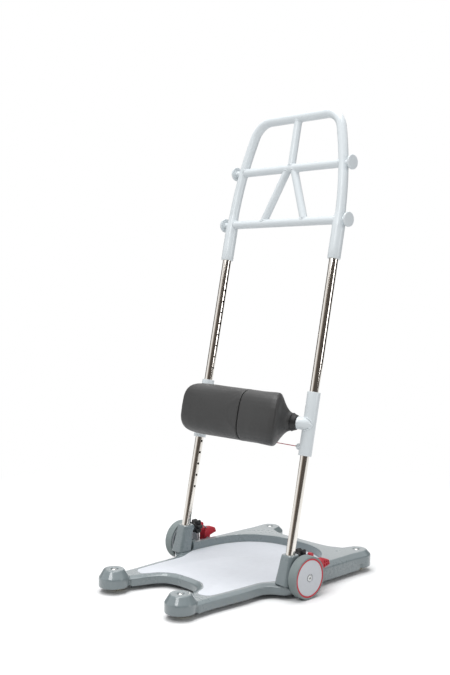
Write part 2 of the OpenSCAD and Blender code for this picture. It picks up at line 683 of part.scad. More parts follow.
module left_trim_ring() wheel_frame(LEFT) trim_ring();
module right_trim_ring() wheel_frame(RIGHT) trim_ring();
module left_hub_cover() wheel_frame(LEFT) hub_cover();
module right_hub_cover() wheel_frame(RIGHT) hub_cover();
module left_wheel_bearings() wheel_frame(LEFT) wheel_bearings();
module right_wheel_bearings() wheel_frame(RIGHT) wheel_bearings();
module axle_bolts() color(steel) for (side = [LEFT, RIGHT]) wheel_frame(side) {
    translate([0, 0, -move_gap - axle_boss_len])
        cylinder(r = axle_r, h = hub_w + 2 * move_gap + axle_boss_len);
    translate([0, 0, hub_w + move_gap]) cylinder(r = axle_head_r, h = cover_thick - move_gap);
}

// Castors, drawn about the upright pin that they swivel on
king_foot_thick = 0.8 * king_head_thick;
leg_in = castor_w / 2 + move_gap;
leg_w = 0.75 * castor_r;
leg_foot = 2 * fork_leg;
module kingpins() color(steel) at_lobes([FRONT, BACK]) {
    translate([0, 0, king_seat_z]) cylinder(r = king_head_r, h = king_head_thick);
    translate([0, 0, crown_z - seat_gap]) cylinder(r = king_r, h = king_seat_z - crown_z + seat_gap);
    translate([0, 0, crown_z - seat_gap - king_foot_thick]) cylinder(r = king_head_r, h = king_foot_thick);
}
module fork() color(steel) difference() {
    union() {
        translate([0, 0, crown_z]) cylinder(r = crown_r, h = crown_thick);
        for (side = [LEFT, RIGHT]) on_side(side) translate([leg_in, 0, 0]) rotate([90, 0, 90])
            linear_extrude(fork_leg)
            polygon([[-leg_w / 2, crown_z + crown_thick], [-leg_w / 2, crown_z],
                [castor_trail - leg_w / 2, castor_r - leg_foot],
                [castor_trail + leg_w / 2, castor_r - leg_foot],
                [leg_w / 2, crown_z + crown_thick]]);
    }
    cylinder(r = king_r + run_fit, h = deck_z);
    translate([0, castor_trail, castor_r]) along_x(-castor_w, castor_w, castor_axle_r);
}
module castor_wheel() color(castor_amber) translate([0, castor_trail, castor_r]) difference() {
    along_x(-castor_w / 2, castor_w / 2, castor_r);
    along_x(-castor_w, castor_w, castor_axle_r + run_fit);
}
module castor_axle() color(steel) translate([0, castor_trail, castor_r])
    along_x(-leg_in - fork_leg, leg_in + fork_leg, castor_axle_r);
module at_lobe(side, end) {
    translate([side * (end == FRONT ? front_lobe_x : back_lobe_x), end * lobe_y, 0]) children();
}
module front_left_fork() at_lobe(LEFT, FRONT) fork();
module front_right_fork() at_lobe(RIGHT, FRONT) fork();
module back_left_fork() at_lobe(LEFT, BACK) fork();
module back_right_fork() at_lobe(RIGHT, BACK) fork();
module front_left_castor_wheel() at_lobe(LEFT, FRONT) castor_wheel();
module front_right_castor_wheel() at_lobe(RIGHT, FRONT) castor_wheel();
module back_left_castor_wheel() at_lobe(LEFT, BACK) castor_wheel();
module back_right_castor_wheel() at_lobe(RIGHT, BACK) castor_wheel();
module front_left_castor_axle() at_lobe(LEFT, FRONT) castor_axle();
module front_right_castor_axle() at_lobe(RIGHT, FRONT) castor_axle();
module back_left_castor_axle() at_lobe(LEFT, BACK) castor_axle();
module back_right_castor_axle() at_lobe(RIGHT, BACK) castor_axle();

// Brakes: pressing a tread turns the nose under its pivot forwards against the tyre
tread_thick = pivot_r;
rib_count = 5;
rib_h = 0.3 * tread_thick;
rib_w = tread_thick / 2;
pin_head_r = 1.5 * pivot_r;
pin_head_thick = pivot_r / 2;
tab_r = 1.5 * pivot_r;
tab_w = 1.25 * strap_w;
tread_front_y = 0.1 * pedal_reach;
tread_tip_y = 0.87 * pedal_reach;
tread_slope = atan(tread_drop / (tread_tip_y - tread_front_y));
strap_in_x = pedal_in_x + move_gap;
tab_y = clamp_face_y + move_gap + knob_len + tab_room + tab_r;
strap_len = (pivot_y + tread_front_y - strap_thick / 2 * sin(strap_slope) - tab_y) / cos(strap_slope);
// Side view of a pedal about its pivot, from its tread forwards and round under the pivot:
// shares of its reach and of the height of its tread
pedal_shares = [[0.1, 1], [-0.066, 0.97], [-0.176, 0.7], [-0.22, 0.2], [-0.352, -0.2], [-0.33, -0.24],
    [0, -0.28], [0.22, -0.2], [0.33, 0.1]];
// Underside of the foot part of a pedal, from the pivot to its blunt end
sole_shares = [[0.38, 0.32], [1, 0.5]];
// Pockets in the outer side of a pedal: from and to along it, then from and to across it
pocket_columns_shares = [[0.32, 0.48], [0.535, 0.695], [0.75, 0.85]];
pocket_rows_shares = [[0, 0.44], [0.6, 1]];
function tread_line(y) = tread_rise - (y - tread_front_y) * tread_drop / (tread_tip_y - tread_front_y);
function sole_line(y) = let (a = sole_shares[0], b = sole_shares[1])
    tread_rise * (a[1] + (max(y / pedal_reach, a[0]) - a[0]) * (b[1] - a[1]) / (b[0] - a[0]));
function pocket_line(y, share) =
    let (low = sole_line(y) + rib_w, high = tread_line(y) - rib_w) low + share * (high - low);
module pedal_side() {
    polygon(concat(
        [[tread_tip_y, tread_rise - tread_drop]],
        [for (p = concat(pedal_shares, sole_shares)) [p[0] * pedal_reach, p[1] * tread_rise]]));
}
module pedal_pockets() {
    for (c = pocket_columns_shares) for (row = pocket_rows_shares)
        let (a = c[0] * pedal_reach, b = c[1] * pedal_reach)
        polygon([[a, pocket_line(a, row[0])], [b, pocket_line(b, row[0])],
            [b, pocket_line(b, row[1])], [a, pocket_line(a, row[1])]]);
}
module pedal_ribs() {
    pitch = (tread_tip_y - tread_front_y) / (rib_count + 1);
    for (k = [1 : rib_count]) translate([rib_w / 2, k * pitch - rib_w / 2, -rib_h])
        cube([pedal_w - rib_w, rib_w, 2 * rib_h]);
}
module pedal_solid() difference() {
    at_pivot() {
        translate([pedal_in_x, 0, 0]) rotate([90, 0, 90]) linear_extrude(pedal_w) pedal_side();
        translate([pedal_in_x, tread_front_y, tread_rise]) rotate([-tread_slope, 0, 0]) pedal_ribs();
    }
    at_pivot() translate([pedal_in_x + pedal_w - rib_w, 0, 0]) rotate([90, 0, 90])
        linear_extrude(rib_w + cut_over) pedal_pockets();
    at_wheel_axis() along_x(0, wheel_in_x + tyre_w, wheel_r + brake_gap);
    at_pivot() along_x(0, wheel_in_x + tyre_w, pivot_r + run_fit);
}
module brake_pedal() color(signal_red) pedal_solid();
module strap_place() {
    at_pivot() translate([strap_in_x, tread_front_y, tread_rise]) rotate([-strap_slope, 0, 0])
        translate([0, -strap_len, -strap_thick]) children();
}
module strap_solid() difference() {
    strap_place() cube([strap_w, strap_len + strap_thick, strap_thick]);
    pedal_solid();
}
module brake_strap() color(steel) strap_solid();
module release_tab() color(signal_red) difference() {
    strap_place() translate([-(tab_w - strap_w) / 2, 0, strap_thick / 2]) along_x(0, tab_w, tab_r);
    strap_solid();
}
module left_brake_pedal() on_side(LEFT) brake_pedal();
module right_brake_pedal() on_side(RIGHT) brake_pedal();
module left_brake_strap() on_side(LEFT) brake_strap();
module right_brake_strap() on_side(RIGHT) brake_strap();
module left_release_tab() on_side(LEFT) release_tab();
module right_release_tab() on_side(RIGHT) release_tab();
module brake_pivot_pins() color(steel) for (side = [LEFT, RIGHT]) on_side(side) at_pivot() {
    out = pedal_in_x + pedal_w + move_gap;
    along_x(pivot_face_x - pivot_boss_len, out, pivot_r);
    along_x(out, out + pin_head_thick, pin_head_r);
}

// Posts with their two rows of locking holes on the inner side
hole_places = concat(
    [for (k = [0 : low_hole_count - 1]) low_hole_s + k * hole_pitch],
    [for (k = [0 : high_hole_count - 1]) high_hole_s + k * hole_pitch]);
module post() color(steel) mast_frame() difference() {
    translate([post_x, 0, post_bottom_s]) cylinder(r = post_r, h = post_top_s - post_bottom_s);
    translate([post_x, 0, post_bottom_s - cut_over])
        cylinder(r = post_r - post_wall, h = post_top_s - post_bottom_s + 2 * cut_over);
    for (s = hole_places) translate([0, 0, s]) along_x(post_x - post_r - cut_over, post_x, hole_r);
}
module left_post() on_side(LEFT) post();
module right_post() on_side(RIGHT) post();

// Handle
hoop_bottom_s = post_top_s + seat_gap;
function side_turn(s) = asin(max(s - side_bow_s, 0) / side_bow_r);
function hoop_x(s) = post_x - side_bow_r * (1 - cos(side_turn(s)));
corner_s = top_bar_s - corner_r;
low_rail_s = side_bow_s + low_rail_share * (top_bar_s - side_bow_s);
high_rail_s = side_bow_s + high_rail_share * (top_bar_s - side_bow_s);
corner_lean = asin((corner_s - side_bow_s) / (side_bow_r - corner_r));
corner_turn = 90 - corner_lean;
corner_x = post_x - side_bow_r + (side_bow_r - corner_r) * cos(corner_lean);
// Straight stretch of the hoop's sides about one place along the posts, to cut what is welded on there
module hoop_near(s, r) {
    turn = side_turn(s);
    half = 2 * hoop_r;
    for (side = [LEFT, RIGHT]) on_side(side) bar_between(
        [hoop_x(s) + half * sin(turn), s - half * cos(turn)],
        [hoop_x(s) - half * sin(turn), s + half * cos(turn)], r);
}
side_steps_count = 9;
corner_steps_count = 9;
weld_gap = 2 * run_fit;
// Right half of the path of the hoop: distance from the middle plane,
// place along the posts, heading in degrees
hoop_path = concat(
    [[post_x, hoop_bottom_s, 90]],
    [for (k = [0 : side_steps_count]) let (a = corner_lean * k / side_steps_count)
        [post_x - side_bow_r * (1 - cos(a)), side_bow_s + side_bow_r * sin(a), 90 + a]],
    [for (k = [1 : corner_steps_count]) let (a = corner_lean + corner_turn * k / corner_steps_count)
        [corner_x + corner_r * cos(a), corner_s + corner_r * sin(a), 90 + a]]);
hoop_stations = concat(hoop_path, [for (q = backwards(hoop_path)) [-q[0], q[1], 360 - q[2]]]);
pipe_points = 32;
function hoop_ring(q, r) = [for (k = [0 : pipe_points - 1]) let (a = 360 * k / pipe_points)
    [q[0] - r * cos(a) * sin(q[2]), -r * sin(a), q[1] + r * cos(a) * cos(q[2])]];
module handle_hoop() color(handle_white) mast_frame() endless_loft(concat(
    [for (q = hoop_stations) hoop_ring(q, hoop_r)],
    [for (q = backwards(hoop_stations)) hoop_ring(q, hoop_r - hoop_wall)]));
module handle_sleeves() color(handle_white) mast_frame() difference() {
    for (side = [LEFT, RIGHT]) translate([side * post_x, 0, sleeve_low_s])
        cylinder(r = sleeve_r, h = sleeve_high_s - sleeve_low_s);
    for (side = [LEFT, RIGHT]) translate([side * post_x, 0, sleeve_low_s - cut_over])
        cylinder(r = post_r, h = post_top_s - sleeve_low_s + cut_over);
    for (side = [LEFT, RIGHT]) translate([side * post_x, 0, hoop_bottom_s])
        cylinder(r = hoop_r, h = sleeve_high_s);
}
module rail(s) color(handle_white) mast_frame() difference() {
    translate([0, 0, s]) along_x(-hoop_x(s), hoop_x(s), rail_r);
    translate([0, 0, s]) along_x(-post_x, post_x, rail_r - tube_wall);
    hoop_near(s, hoop_r + weld_gap);
}
module upper_rail() rail(high_rail_s);
module lower_rail() rail(low_rail_s);
module centre_bar() color(handle_white) mast_frame() difference() {
    bar_between([0, high_rail_s], [0, top_bar_s], strut_r);
    bar_between([0, high_rail_s], [0, top_bar_s], strut_r - tube_wall);
    translate([0, 0, high_rail_s]) along_x(-corner_x, corner_x, rail_r);
    translate([0, 0, top_bar_s]) along_x(-corner_x, corner_x, hoop_r);
}
module handle_struts() color(handle_white) mast_frame()
    for (side = [LEFT, RIGHT]) on_side(side) difference() {
    bar_between([strut_spread, low_rail_s], [strut_r, high_rail_s], strut_r);
    bar_between([strut_spread, low_rail_s], [strut_r, high_rail_s], strut_r - tube_wall);
    for (s = [low_rail_s, high_rail_s]) translate([0, 0, s]) along_x(-corner_x, corner_x, rail_r);
    translate([-strut_spread, -sleeve_r, low_rail_s])
        cube([strut_spread + seat_gap / 2, 2 * sleeve_r, top_bar_s]);
}
stud_edge = stud_disc_thick / 4;
module belt_stud(s) translate([hoop_x(s), 0, s]) rotate([0, 90, 0]) {
    cylinder(r = stud_stem_r, h = stud_reach - stud_disc_thick);
    translate([0, 0, stud_reach - stud_disc_thick]) rotate_extrude() polygon([
        [0, 0], [stud_disc_r - stud_edge, 0], [stud_disc_r, stud_edge],
        [stud_disc_r, stud_disc_thick - 2 * stud_edge],
        [stud_disc_r - 2 * stud_edge, stud_disc_thick], [0, stud_disc_thick]]);
}
module belt_studs() color(handle_white) mast_frame() difference() {
    for (side = [LEFT, RIGHT]) on_side(side) for (s = [low_rail_s, high_rail_s]) belt_stud(s);
    for (s = [low_rail_s, high_rail_s]) hoop_near(s, hoop_r + weld_gap);
}

// Leg support, which slides on the posts
elbow_r = bar_ahead / cos(bar_bow);
elbow_x = post_x - elbow_r;
bar_end_x = elbow_x + elbow_r * sin(bar_bow);
bow_r = bar_end_x / sin(bar_bow);
bow_y = bow_r * cos(bar_bow) - bar_ahead;
module bowed(from, to, r) {
    translate([0, bow_y, bar_s]) rotate([0, 0, from - 90]) rotate_extrude(angle = to - from)
        translate([bow_r, 0]) circle(r = r);
}
module slides(r) {
    for (side = [LEFT, RIGHT]) translate([side * post_x, 0, slide_low_s]) cylinder(r = r, h = slide_len);
}
pin_boss_x = post_x - slide_r - pin_boss_len;
module slide_sleeves() color(handle_white) mast_frame() difference() {
    union() {
        slides(slide_r);
        for (side = [LEFT, RIGHT]) on_side(side) translate([0, 0, pin_s])
            along_x(pin_boss_x, post_x, pin_boss_r);
    }
    for (side = [LEFT, RIGHT]) on_side(side) {
        translate([post_x, 0, slide_low_s - cut_over])
            cylinder(r = post_r + run_fit, h = slide_len + 2 * cut_over);
        translate([0, 0, pin_s]) along_x(pin_boss_x - cut_over, post_x, pin_r + run_fit);
    }
}
bow_steps = 12;
elbow_steps = 7;
// Path of the cross tube from left to right: place, distance behind the posts, heading in degrees
bow_path = [for (k = [0 : bow_steps]) let (a = bar_bow * (2 * k / bow_steps - 1))
    [bow_r * sin(a), bow_y - bow_r * cos(a), a]];
elbow_path = [for (k = [1 : elbow_steps]) let (a = bar_bow + (90 - bar_bow) * k / elbow_steps)
    [elbow_x + elbow_r * sin(a), -elbow_r * cos(a), a]];
bar_stations = concat([for (q = backwards(elbow_path)) [-q[0], q[1], -q[2]]], bow_path, elbow_path);
function bar_ring(q, r) = [for (k = [0 : pipe_points - 1]) let (a = 360 * k / pipe_points)
    [q[0] - r * cos(a) * sin(q[2]), q[1] + r * cos(a) * cos(q[2]), bar_s + r * sin(a)]];
module support_bar() color(handle_white) mast_frame() difference() {
    endless_loft(concat(
        [for (q = bar_stations) bar_ring(q, bar_r)],
        [for (q = backwards(bar_stations)) bar_ring(q, bar_r - bar_wall)]));
    slides(slide_r);
}
// Pad sections from the middle to the right end: share of the bow angle, share of the tilt,
// share of the reach ahead of the tube, reach behind it as a share of the reach in the middle,
// share of the half height
pad_shares = [
    [0, 0, 0.69, 1, 1], [0.3, 0.2, 0.74, 0.95, 1], [0.5, 0.55, 0.85, 0.9, 1.005],
    [0.62, 1, 0.95, 0.86, 1.015], [0.7, 1.3, 1.02, 0.82, 1.03], [0.745, 1.45, 1.03, 0.8, 1.025],
    [0.775, 1.45, 0.99, 0.79, 0.965], [0.81, 1.4, 0.87, 0.79, 0.83], [0.85, 1.3, 0.68, 0.78, 0.65],
    [0.89, 1.2, 0.51, 0.77, 0.51], [0.935, 1.05, 0.38, 0.76, 0.4], [1, 0.84, 0.29, 0.75, 0.328]];
// From this share of the bow angle on, the back of the pad is round
pad_round_share = 0.45;
pad_points = 32;
pad_power = 3.4;
collar_turn = collar_len / bow_r * 180 / PI;
pad_turn = bar_bow - collar_turn;
pad_bore_gap = seat_gap;
neck_gap_turn = run_fit / bow_r * 180 / PI;
function squared(v, power) = sign(v) * pow(abs(v), 2 / power);
function pad_ring(side, p) =
    let (bow = side * p[0] * pad_turn, tilt = side * (p[0] == 1 ? pad_turn : p[1] * pad_tilt))
    let (cx = bow_r * sin(bow), cy = bow_y - bow_r * cos(bow))
    [for (k = [0 : pad_points - 1]) let (a = 360 * k / pad_points)
        let (round_back = cos(a) > 0 && p[0] > pad_round_share)
        let (power = p[4] < 0.5 || round_back ? 2 : pad_power)
        let (d = squared(cos(a), power), reach = d > 0 ? -d * p[3] * pad_back : -d * p[2] * pad_front)
        [cx + reach * sin(tilt), cy - reach * cos(tilt), bar_s + squared(sin(a), power) * p[4] * pad_h / 2]];
module whole_pad() difference() {
    loft(concat(
        [for (p = backwards(pad_shares)) pad_ring(LEFT, p)],
        [for (i = [1 : len(pad_shares) - 1]) pad_ring(RIGHT, pad_shares[i])]));
    bowed(-bar_bow, bar_bow, bar_r + pad_bore_gap);
}
module pad_side(x0, x1) color(pad_charcoal) mast_frame() intersection() {
    whole_pad();
    translate([x0, -post_x, bar_s - pad_h]) cube([x1 - x0, 2 * post_x, 2 * pad_h]);
}
module left_pad() pad_side(-post_x - slide_r, pad_split_x - pad_split_gap / 2);
module right_pad() pad_side(pad_split_x + pad_split_gap / 2, post_x + slide_r);
module neck_collars() color(soft_black) mast_frame() for (side = [LEFT, RIGHT]) on_side(side) difference() {
    bowed(pad_turn + neck_gap_turn, bar_bow, collar_r);
    bowed(0, bar_bow, bar_r + pad_bore_gap);
}
// Locking pins, drawn just clear of the posts, with the taut wire that pulls them
pin_tip_x = post_x - post_r - seat_gap;
pin_in_x = pin_boss_x - pin_out;
wire_in_share = 0.3;
module lock_pin() color(steel) mast_frame() translate([0, 0, pin_s]) along_x(pin_in_x, pin_tip_x, pin_r);
module release_wire() color(signal_red) mast_frame() translate([0, 0, pin_s])
    along_x(grip_half_len * wire_in_share, pin_in_x, wire_r);
module left_lock_pin() on_side(LEFT) lock_pin();
module right_lock_pin() on_side(RIGHT) lock_pin();
module left_release_wire() on_side(LEFT) release_wire();
module right_release_wire() on_side(RIGHT) release_wire();
module release_grip() color(soft_black) mast_frame() translate([0, 0, pin_s]) difference() {
    along_x(-grip_half_len, grip_half_len, grip_r);
    along_x(-grip_half_len - cut_over, grip_half_len + cut_over, wire_r + run_fit);
}

base_casting();
foot_mat();
left_post_socket();
right_post_socket();
socket_screws();
kingpins();
axle_bolts();
brake_pivot_pins();
left_tyre();
left_wheel_hub();
left_trim_ring();
left_hub_cover();
left_wheel_bearings();
right_tyre();
right_wheel_hub();
right_trim_ring();
right_hub_cover();
right_wheel_bearings();
front_left_fork();
front_left_castor_wheel();
front_left_castor_axle();
front_right_fork();
front_right_castor_wheel();
front_right_castor_axle();
back_left_fork();
back_left_castor_wheel();
back_left_castor_axle();
back_right_fork();
back_right_castor_wheel();
back_right_castor_axle();
left_brake_pedal();
left_brake_strap();
left_release_tab();
right_brake_pedal();
right_brake_strap();
right_release_tab();
left_clamp_knob();
left_clamp_screw();
right_clamp_knob();
right_clamp_screw();
left_post();
right_post();
handle_sleeves();
handle_hoop();
upper_rail();
lower_rail();
centre_bar();
handle_struts();
belt_studs();
slide_sleeves();
support_bar();
left_pad();
right_pad();
neck_collars();
release_grip();
left_lock_pin();
right_lock_pin();
left_release_wire();
right_release_wire();
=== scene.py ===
"""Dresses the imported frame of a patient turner: finished pieces, materials and a small studio."""
import contextlib
import json
import math

import bmesh
import bpy
from mathutils import Matrix, Vector


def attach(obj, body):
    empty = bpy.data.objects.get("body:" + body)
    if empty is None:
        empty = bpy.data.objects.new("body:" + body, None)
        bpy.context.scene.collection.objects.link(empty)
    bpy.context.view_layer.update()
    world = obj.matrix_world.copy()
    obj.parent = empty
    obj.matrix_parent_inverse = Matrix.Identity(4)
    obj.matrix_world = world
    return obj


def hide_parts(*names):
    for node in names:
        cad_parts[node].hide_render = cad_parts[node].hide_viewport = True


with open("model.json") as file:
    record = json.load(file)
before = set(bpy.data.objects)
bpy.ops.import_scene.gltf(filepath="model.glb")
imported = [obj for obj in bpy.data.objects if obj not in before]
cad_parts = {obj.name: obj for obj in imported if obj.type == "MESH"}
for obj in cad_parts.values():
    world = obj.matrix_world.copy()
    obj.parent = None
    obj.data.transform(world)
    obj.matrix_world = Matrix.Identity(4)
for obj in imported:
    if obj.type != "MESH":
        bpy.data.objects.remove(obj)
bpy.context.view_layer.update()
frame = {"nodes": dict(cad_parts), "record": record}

bl_info = {
    "name": "Patient turner",
    "version": (1, 0, 0),
    "blender": (4, 5, 0),
    "location": "3D View > Sidebar > Turner",
    "description": "Finishes the frame of a patient turner and sets it in a studio",
    "category": "Object",
}

MM = 0.001
LEFT, RIGHT = -1, 1
WORDS = ("left", "right")
SIDES = tuple(zip((LEFT, RIGHT), WORDS))

# Sizes shared with the solids, in millimetres
LEAN = math.radians(11.6)
POST_FOOT_Y = -21
POST_X, POST_R, POST_WALL = 188, 11, 1.6
POST_BOTTOM, POST_TOP = 44, 880
HOLE_R, HOLE_PITCH = 3.2, 30
LOW_HOLE, LOW_HOLES, HIGH_HOLE, HIGH_HOLES = 205.5, 6, 521.4, 8
LOBE_Y, FRONT_LOBE_X, BACK_LOBE_X = 284, 123, 156
DECK_Z, PLATE_Z = 54, 34
KING_R, KING_HEAD_R, KING_CAP_R, KING_SEAT_Z, KING_TOP_Z, KING_FOOT_Z = 4, 6.5, 7.4, 51.4, 53.4, 32.1
WHEEL_R, WHEEL_Y, WHEEL_IN_X, TYRE_W = 50.7, 17.6, 211, 24
TYRE_IN_R, COVER_R, COVER_THICK = 46, 42, 3
BEARING_R, BEARING_W, AXLE_R, AXLE_HEAD_R = 11, 7, 4, 7.5
CLAMP_Z, CLAMP_FACE_Y, KNOB_GRIPS = 90, 22.47, 6
KNOB_CORE_R, KNOB_TIP_R = 12, 19.5
CASTOR_R, CASTOR_W, CASTOR_TRAIL, CASTOR_AXLE_R = 16, 14, 11, 2.55
HOOP_R, HOOP_WALL, SIDE_BOW_R, SIDE_BOW_S = 12.5, 2, 855, 900
LOW_RAIL, HIGH_RAIL, TOP_BAR, CORNER_R = 911, 1054, 1189, 56
RAIL_R, STRUT_R, TUBE_WALL, STRUT_SPREAD = 11, 10, 1.8, 73
SLEEVE_R, SLEEVE_LOW, SLEEVE_HIGH, SWAGE_TOP = 16, 814, 893, 940
STUD_STEM_R, STUD_DISC_R, STUD_DISC_THICK, STUD_REACH = 7, 18.5, 6, 31
SLIDE_R, SLIDE_LOW, SLIDE_LEN = 16, 336, 153
BAR_S, BAR_AHEAD, BAR_BOW, BAR_R, BAR_WALL = 411, 24, math.radians(22), 15, 2
COLLAR_R, COLLAR_LEN = 21, 12
PIN_S, PIN_R, PIN_BOSS_R, PIN_BOSS_X = 355.5, 2.8, 8, 163
GRIP_R, GRIP_HALF_LEN, WIRE_R = 6, 45, 1
PAD_SPLIT_X, PAD_SPLIT_GAP, GROOVE_REACH, GROOVE_DEPTH = 50, 1.2, 4, 1.7

# Play of a running fit, points of a weld line, and reaches of the pad's held points and of its shrinking
RUN_FIT, SEAM_POINTS = 0.05, 64
HOLD_TUBE, HOLD_JOINT, SHRINK_REACH = 3, 3, 30
# Frames of the cloth, and distances at which points are merged, in metres
CLOTH_FRAMES, MERGE, CAD_MERGE = 20, 1e-6, 2e-6
# Camera fitted to the photo, in metres, with its lens in millimetres and its roll in degrees
LENS, CAMERA_PLACE, CAMERA_ROLL = 51.49, (1.7167, -1.6445, 0.7453), 0.331
CAMERA_BACK, CAMERA_RIGHT = (0.7291, -0.6818, 0.0596), (0.683, 0.7304, 0.0)
# Floor disc, the distances between which it fades out, and the ring of dark cards, in metres
FLOOR_R, FLOOR_Z, FADE_START, FADE_END, CARD_R = 9, -0.0004, 0.7, 1.5, 3.2

MAST = Matrix.Translation((0, POST_FOOT_Y, 0)) @ Matrix.Rotation(-LEAN, 4, "X")
ALONG_X = Matrix.Rotation(math.pi / 2, 4, "Y")
ALONG_Y = Matrix.Rotation(-math.pi / 2, 4, "X")


# Plain mesh making, in millimetres

def filleted(points, radius, steps=4):
    """Round every corner of a closed outline; radius is one number or one for each corner."""
    count = len(points)
    radii = radius if isinstance(radius, (list, tuple)) else [radius] * count
    rounded = []
    for i, corner in enumerate(points):
        p = Vector(corner)
        a, b = Vector(points[i - 1]) - p, Vector(points[(i + 1) % count]) - p
        angle = a.angle(b)
        if radii[i] <= 0 or angle > math.pi - 0.05:
            rounded.append(tuple(p))
            continue
        room = min(radii[i] / math.tan(angle / 2), 0.48 * a.length, 0.48 * b.length)
        start, end = p + a.normalized() * room, p + b.normalized() * room
        for k in range(steps + 1):
            t = k / steps
            rounded.append(tuple((1 - t) ** 2 * start + 2 * t * (1 - t) * p + t * t * end))
    return rounded


def lathe(outline, steps=96):
    """Turn a closed outline of (radius, height) about Z."""
    rings, verts, faces = [], [], []
    for r, z in outline:
        if r < 1e-6:
            rings.append([len(verts)] * steps)
            verts.append((0, 0, z))
            continue
        rings.append(list(range(len(verts), len(verts) + steps)))
        verts += [(r * math.cos(2 * math.pi * k / steps), r * math.sin(2 * math.pi * k / steps), z)
                  for k in range(steps)]
    for a, b in zip(rings, rings[1:] + rings[:1]):
        for k in range(steps):
            m = (k + 1) % steps
            corners = list(dict.fromkeys((a[k], a[m], b[m], b[k])))
            if len(corners) > 2:
                faces.append(corners)
    return verts, faces


def path_frames(path):
    """Directions across a path that do not twist along it."""
    points = [Vector(p) for p in path]
    last = len(points) - 1
    tangents = [(points[min(i + 1, last)] - points[max(i - 1, 0)]).normalized() for i in range(last + 1)]
    side = tangents[0].orthogonal().normalized()
    frames = []
    for t in tangents:
        side = (side - t * side.dot(t)).normalized()
        frames.append((side, t.cross(side)))
    return points, frames


def swept(path, radii, bores=0, sides=48):
    """A round bar along a path, or a tube if it has a bore.

    Radii and bores are one number, or one for each point.
    """
    points, frames = path_frames(path)
    radii = radii if isinstance(radii, (list, tuple)) else [radii] * len(points)
    wall = bool(bores)
    bores = bores if isinstance(bores, (list, tuple)) else [bores] * len(points)
    order = list(range(len(points)))
    loops = [(i, radii[i]) for i in order]
    if wall:
        loops += [(i, bores[i]) for i in reversed(order)]
    verts, faces = [], []
    for i, r in loops:
        u, v = frames[i]
        turns = [2 * math.pi * k / sides for k in range(sides)]
        verts += [tuple(points[i] + r * (u * math.cos(a) + v * math.sin(a))) for a in turns]
    count = len(loops)
    for j in range(count if wall else count - 1):
        a, b = j * sides, (j + 1) % count * sides
        for k in range(sides):
            m = (k + 1) % sides
            faces.append((a + k, a + m, b + m, b + k))
    if not wall:
        faces += [tuple(range(sides)), tuple(range((count - 1) * sides, count * sides))]
    return verts, faces


def joined(*shapes):
    """Several shapes as one list of points and faces."""
    verts, faces = [], []
    for more_verts, more_faces in shapes:
        start = len(verts)
        verts += list(more_verts)
        faces += [tuple(i + start for i in face) for face in more_faces]
    return verts, faces


def moved(shape, place):
    return [tuple(place @ Vector(v)) for v in shape[0]], shape[1]


def facing(side):
    """Turn of a part made along Z, so that it points out to one side."""
    return Matrix.Rotation(side * math.pi / 2, 4, "Y")


def in_metres(place):
    """A place in millimetres as one in metres."""
    return Matrix.Translation(place.translation * MM) @ place.to_3x3().to_4x4()


@contextlib.contextmanager
def edited(mesh):
    """Work on the points, edges and faces of a mesh."""
    bm = bmesh.new()
    bm.from_mesh(mesh)
    yield bm
    bm.to_mesh(mesh)
    bm.free()


def cleaned(mesh):
    """Merge doubles and point every face outwards."""
    with edited(mesh) as bm:
        bmesh.ops.remove_doubles(bm, verts=bm.verts, dist=MERGE)
        bmesh.ops.recalc_face_normals(bm, faces=bm.faces)
    return mesh


def shaded(mesh, angle=35):
    """Smooth shading, with edges sharper than an angle in degrees left crisp."""
    mesh.polygons.foreach_set("use_smooth", [True] * len(mesh.polygons))
    mesh.set_sharp_from_angle(angle=math.radians(angle))
    return mesh


def solid(name, shape, place=Matrix(), angle=35):
    """A mesh in metres from a shape in millimetres."""
    mesh = bpy.data.meshes.new(name)
    mesh.from_pydata([tuple(MM * (place @ Vector(v))) for v in shape[0]], [], shape[1])
    return shaded(cleaned(mesh), angle)


def linked(name, mesh):
    obj = bpy.data.objects.new(name, mesh)
    bpy.context.scene.collection.objects.link(obj)
    return obj


def cad_copy(name, node):
    """A merged copy of a solid's mesh, as a new object."""
    mesh = frame["nodes"][node].data.copy()
    mesh.name = name
    for layer in list(mesh.uv_layers):
        mesh.uv_layers.remove(layer)
    with edited(mesh) as bm:
        bmesh.ops.remove_doubles(bm, verts=bm.verts, dist=CAD_MERGE)
        bmesh.ops.dissolve_degenerate(bm, edges=bm.edges, dist=MERGE)
    return linked(name, mesh)


def settled(obj):
    """Turn live modifiers into a plain mesh."""
    deps = bpy.context.evaluated_depsgraph_get()
    mesh = bpy.data.meshes.new_from_object(obj.evaluated_get(deps))
    obj.modifiers.clear()
    obj.data = mesh
    mesh.name = obj.name
    return obj


def drilled(shape, drill):
    """A closed shape with another one cut out of it."""
    host, tool = linked("drilled", solid("drilled", shape)), linked("drill", solid("drill", drill))
    cut = host.modifiers.new("cut", "BOOLEAN")
    cut.operation, cut.solver, cut.object = "DIFFERENCE", "EXACT", tool
    mesh = settled(host).data
    cut_shape = [tuple(v.co / MM) for v in mesh.vertices], [tuple(p.vertices) for p in mesh.polygons]
    bpy.data.objects.remove(host)
    bpy.data.objects.remove(tool)
    return cut_shape


def finish(obj, body, slot, nodes=()):
    """Hang a finished piece on its body, with its finish and the solids that it stands for."""
    obj.data.materials.clear()
    obj.data.materials.append(material(slot))
    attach(obj, body)
    if nodes:
        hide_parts(*nodes)
    return obj


def piece(name, shape, body, slot, nodes=(), place=Matrix(), angle=35):
    return finish(linked(name, solid(name, shape, place, angle)), body, slot, nodes)


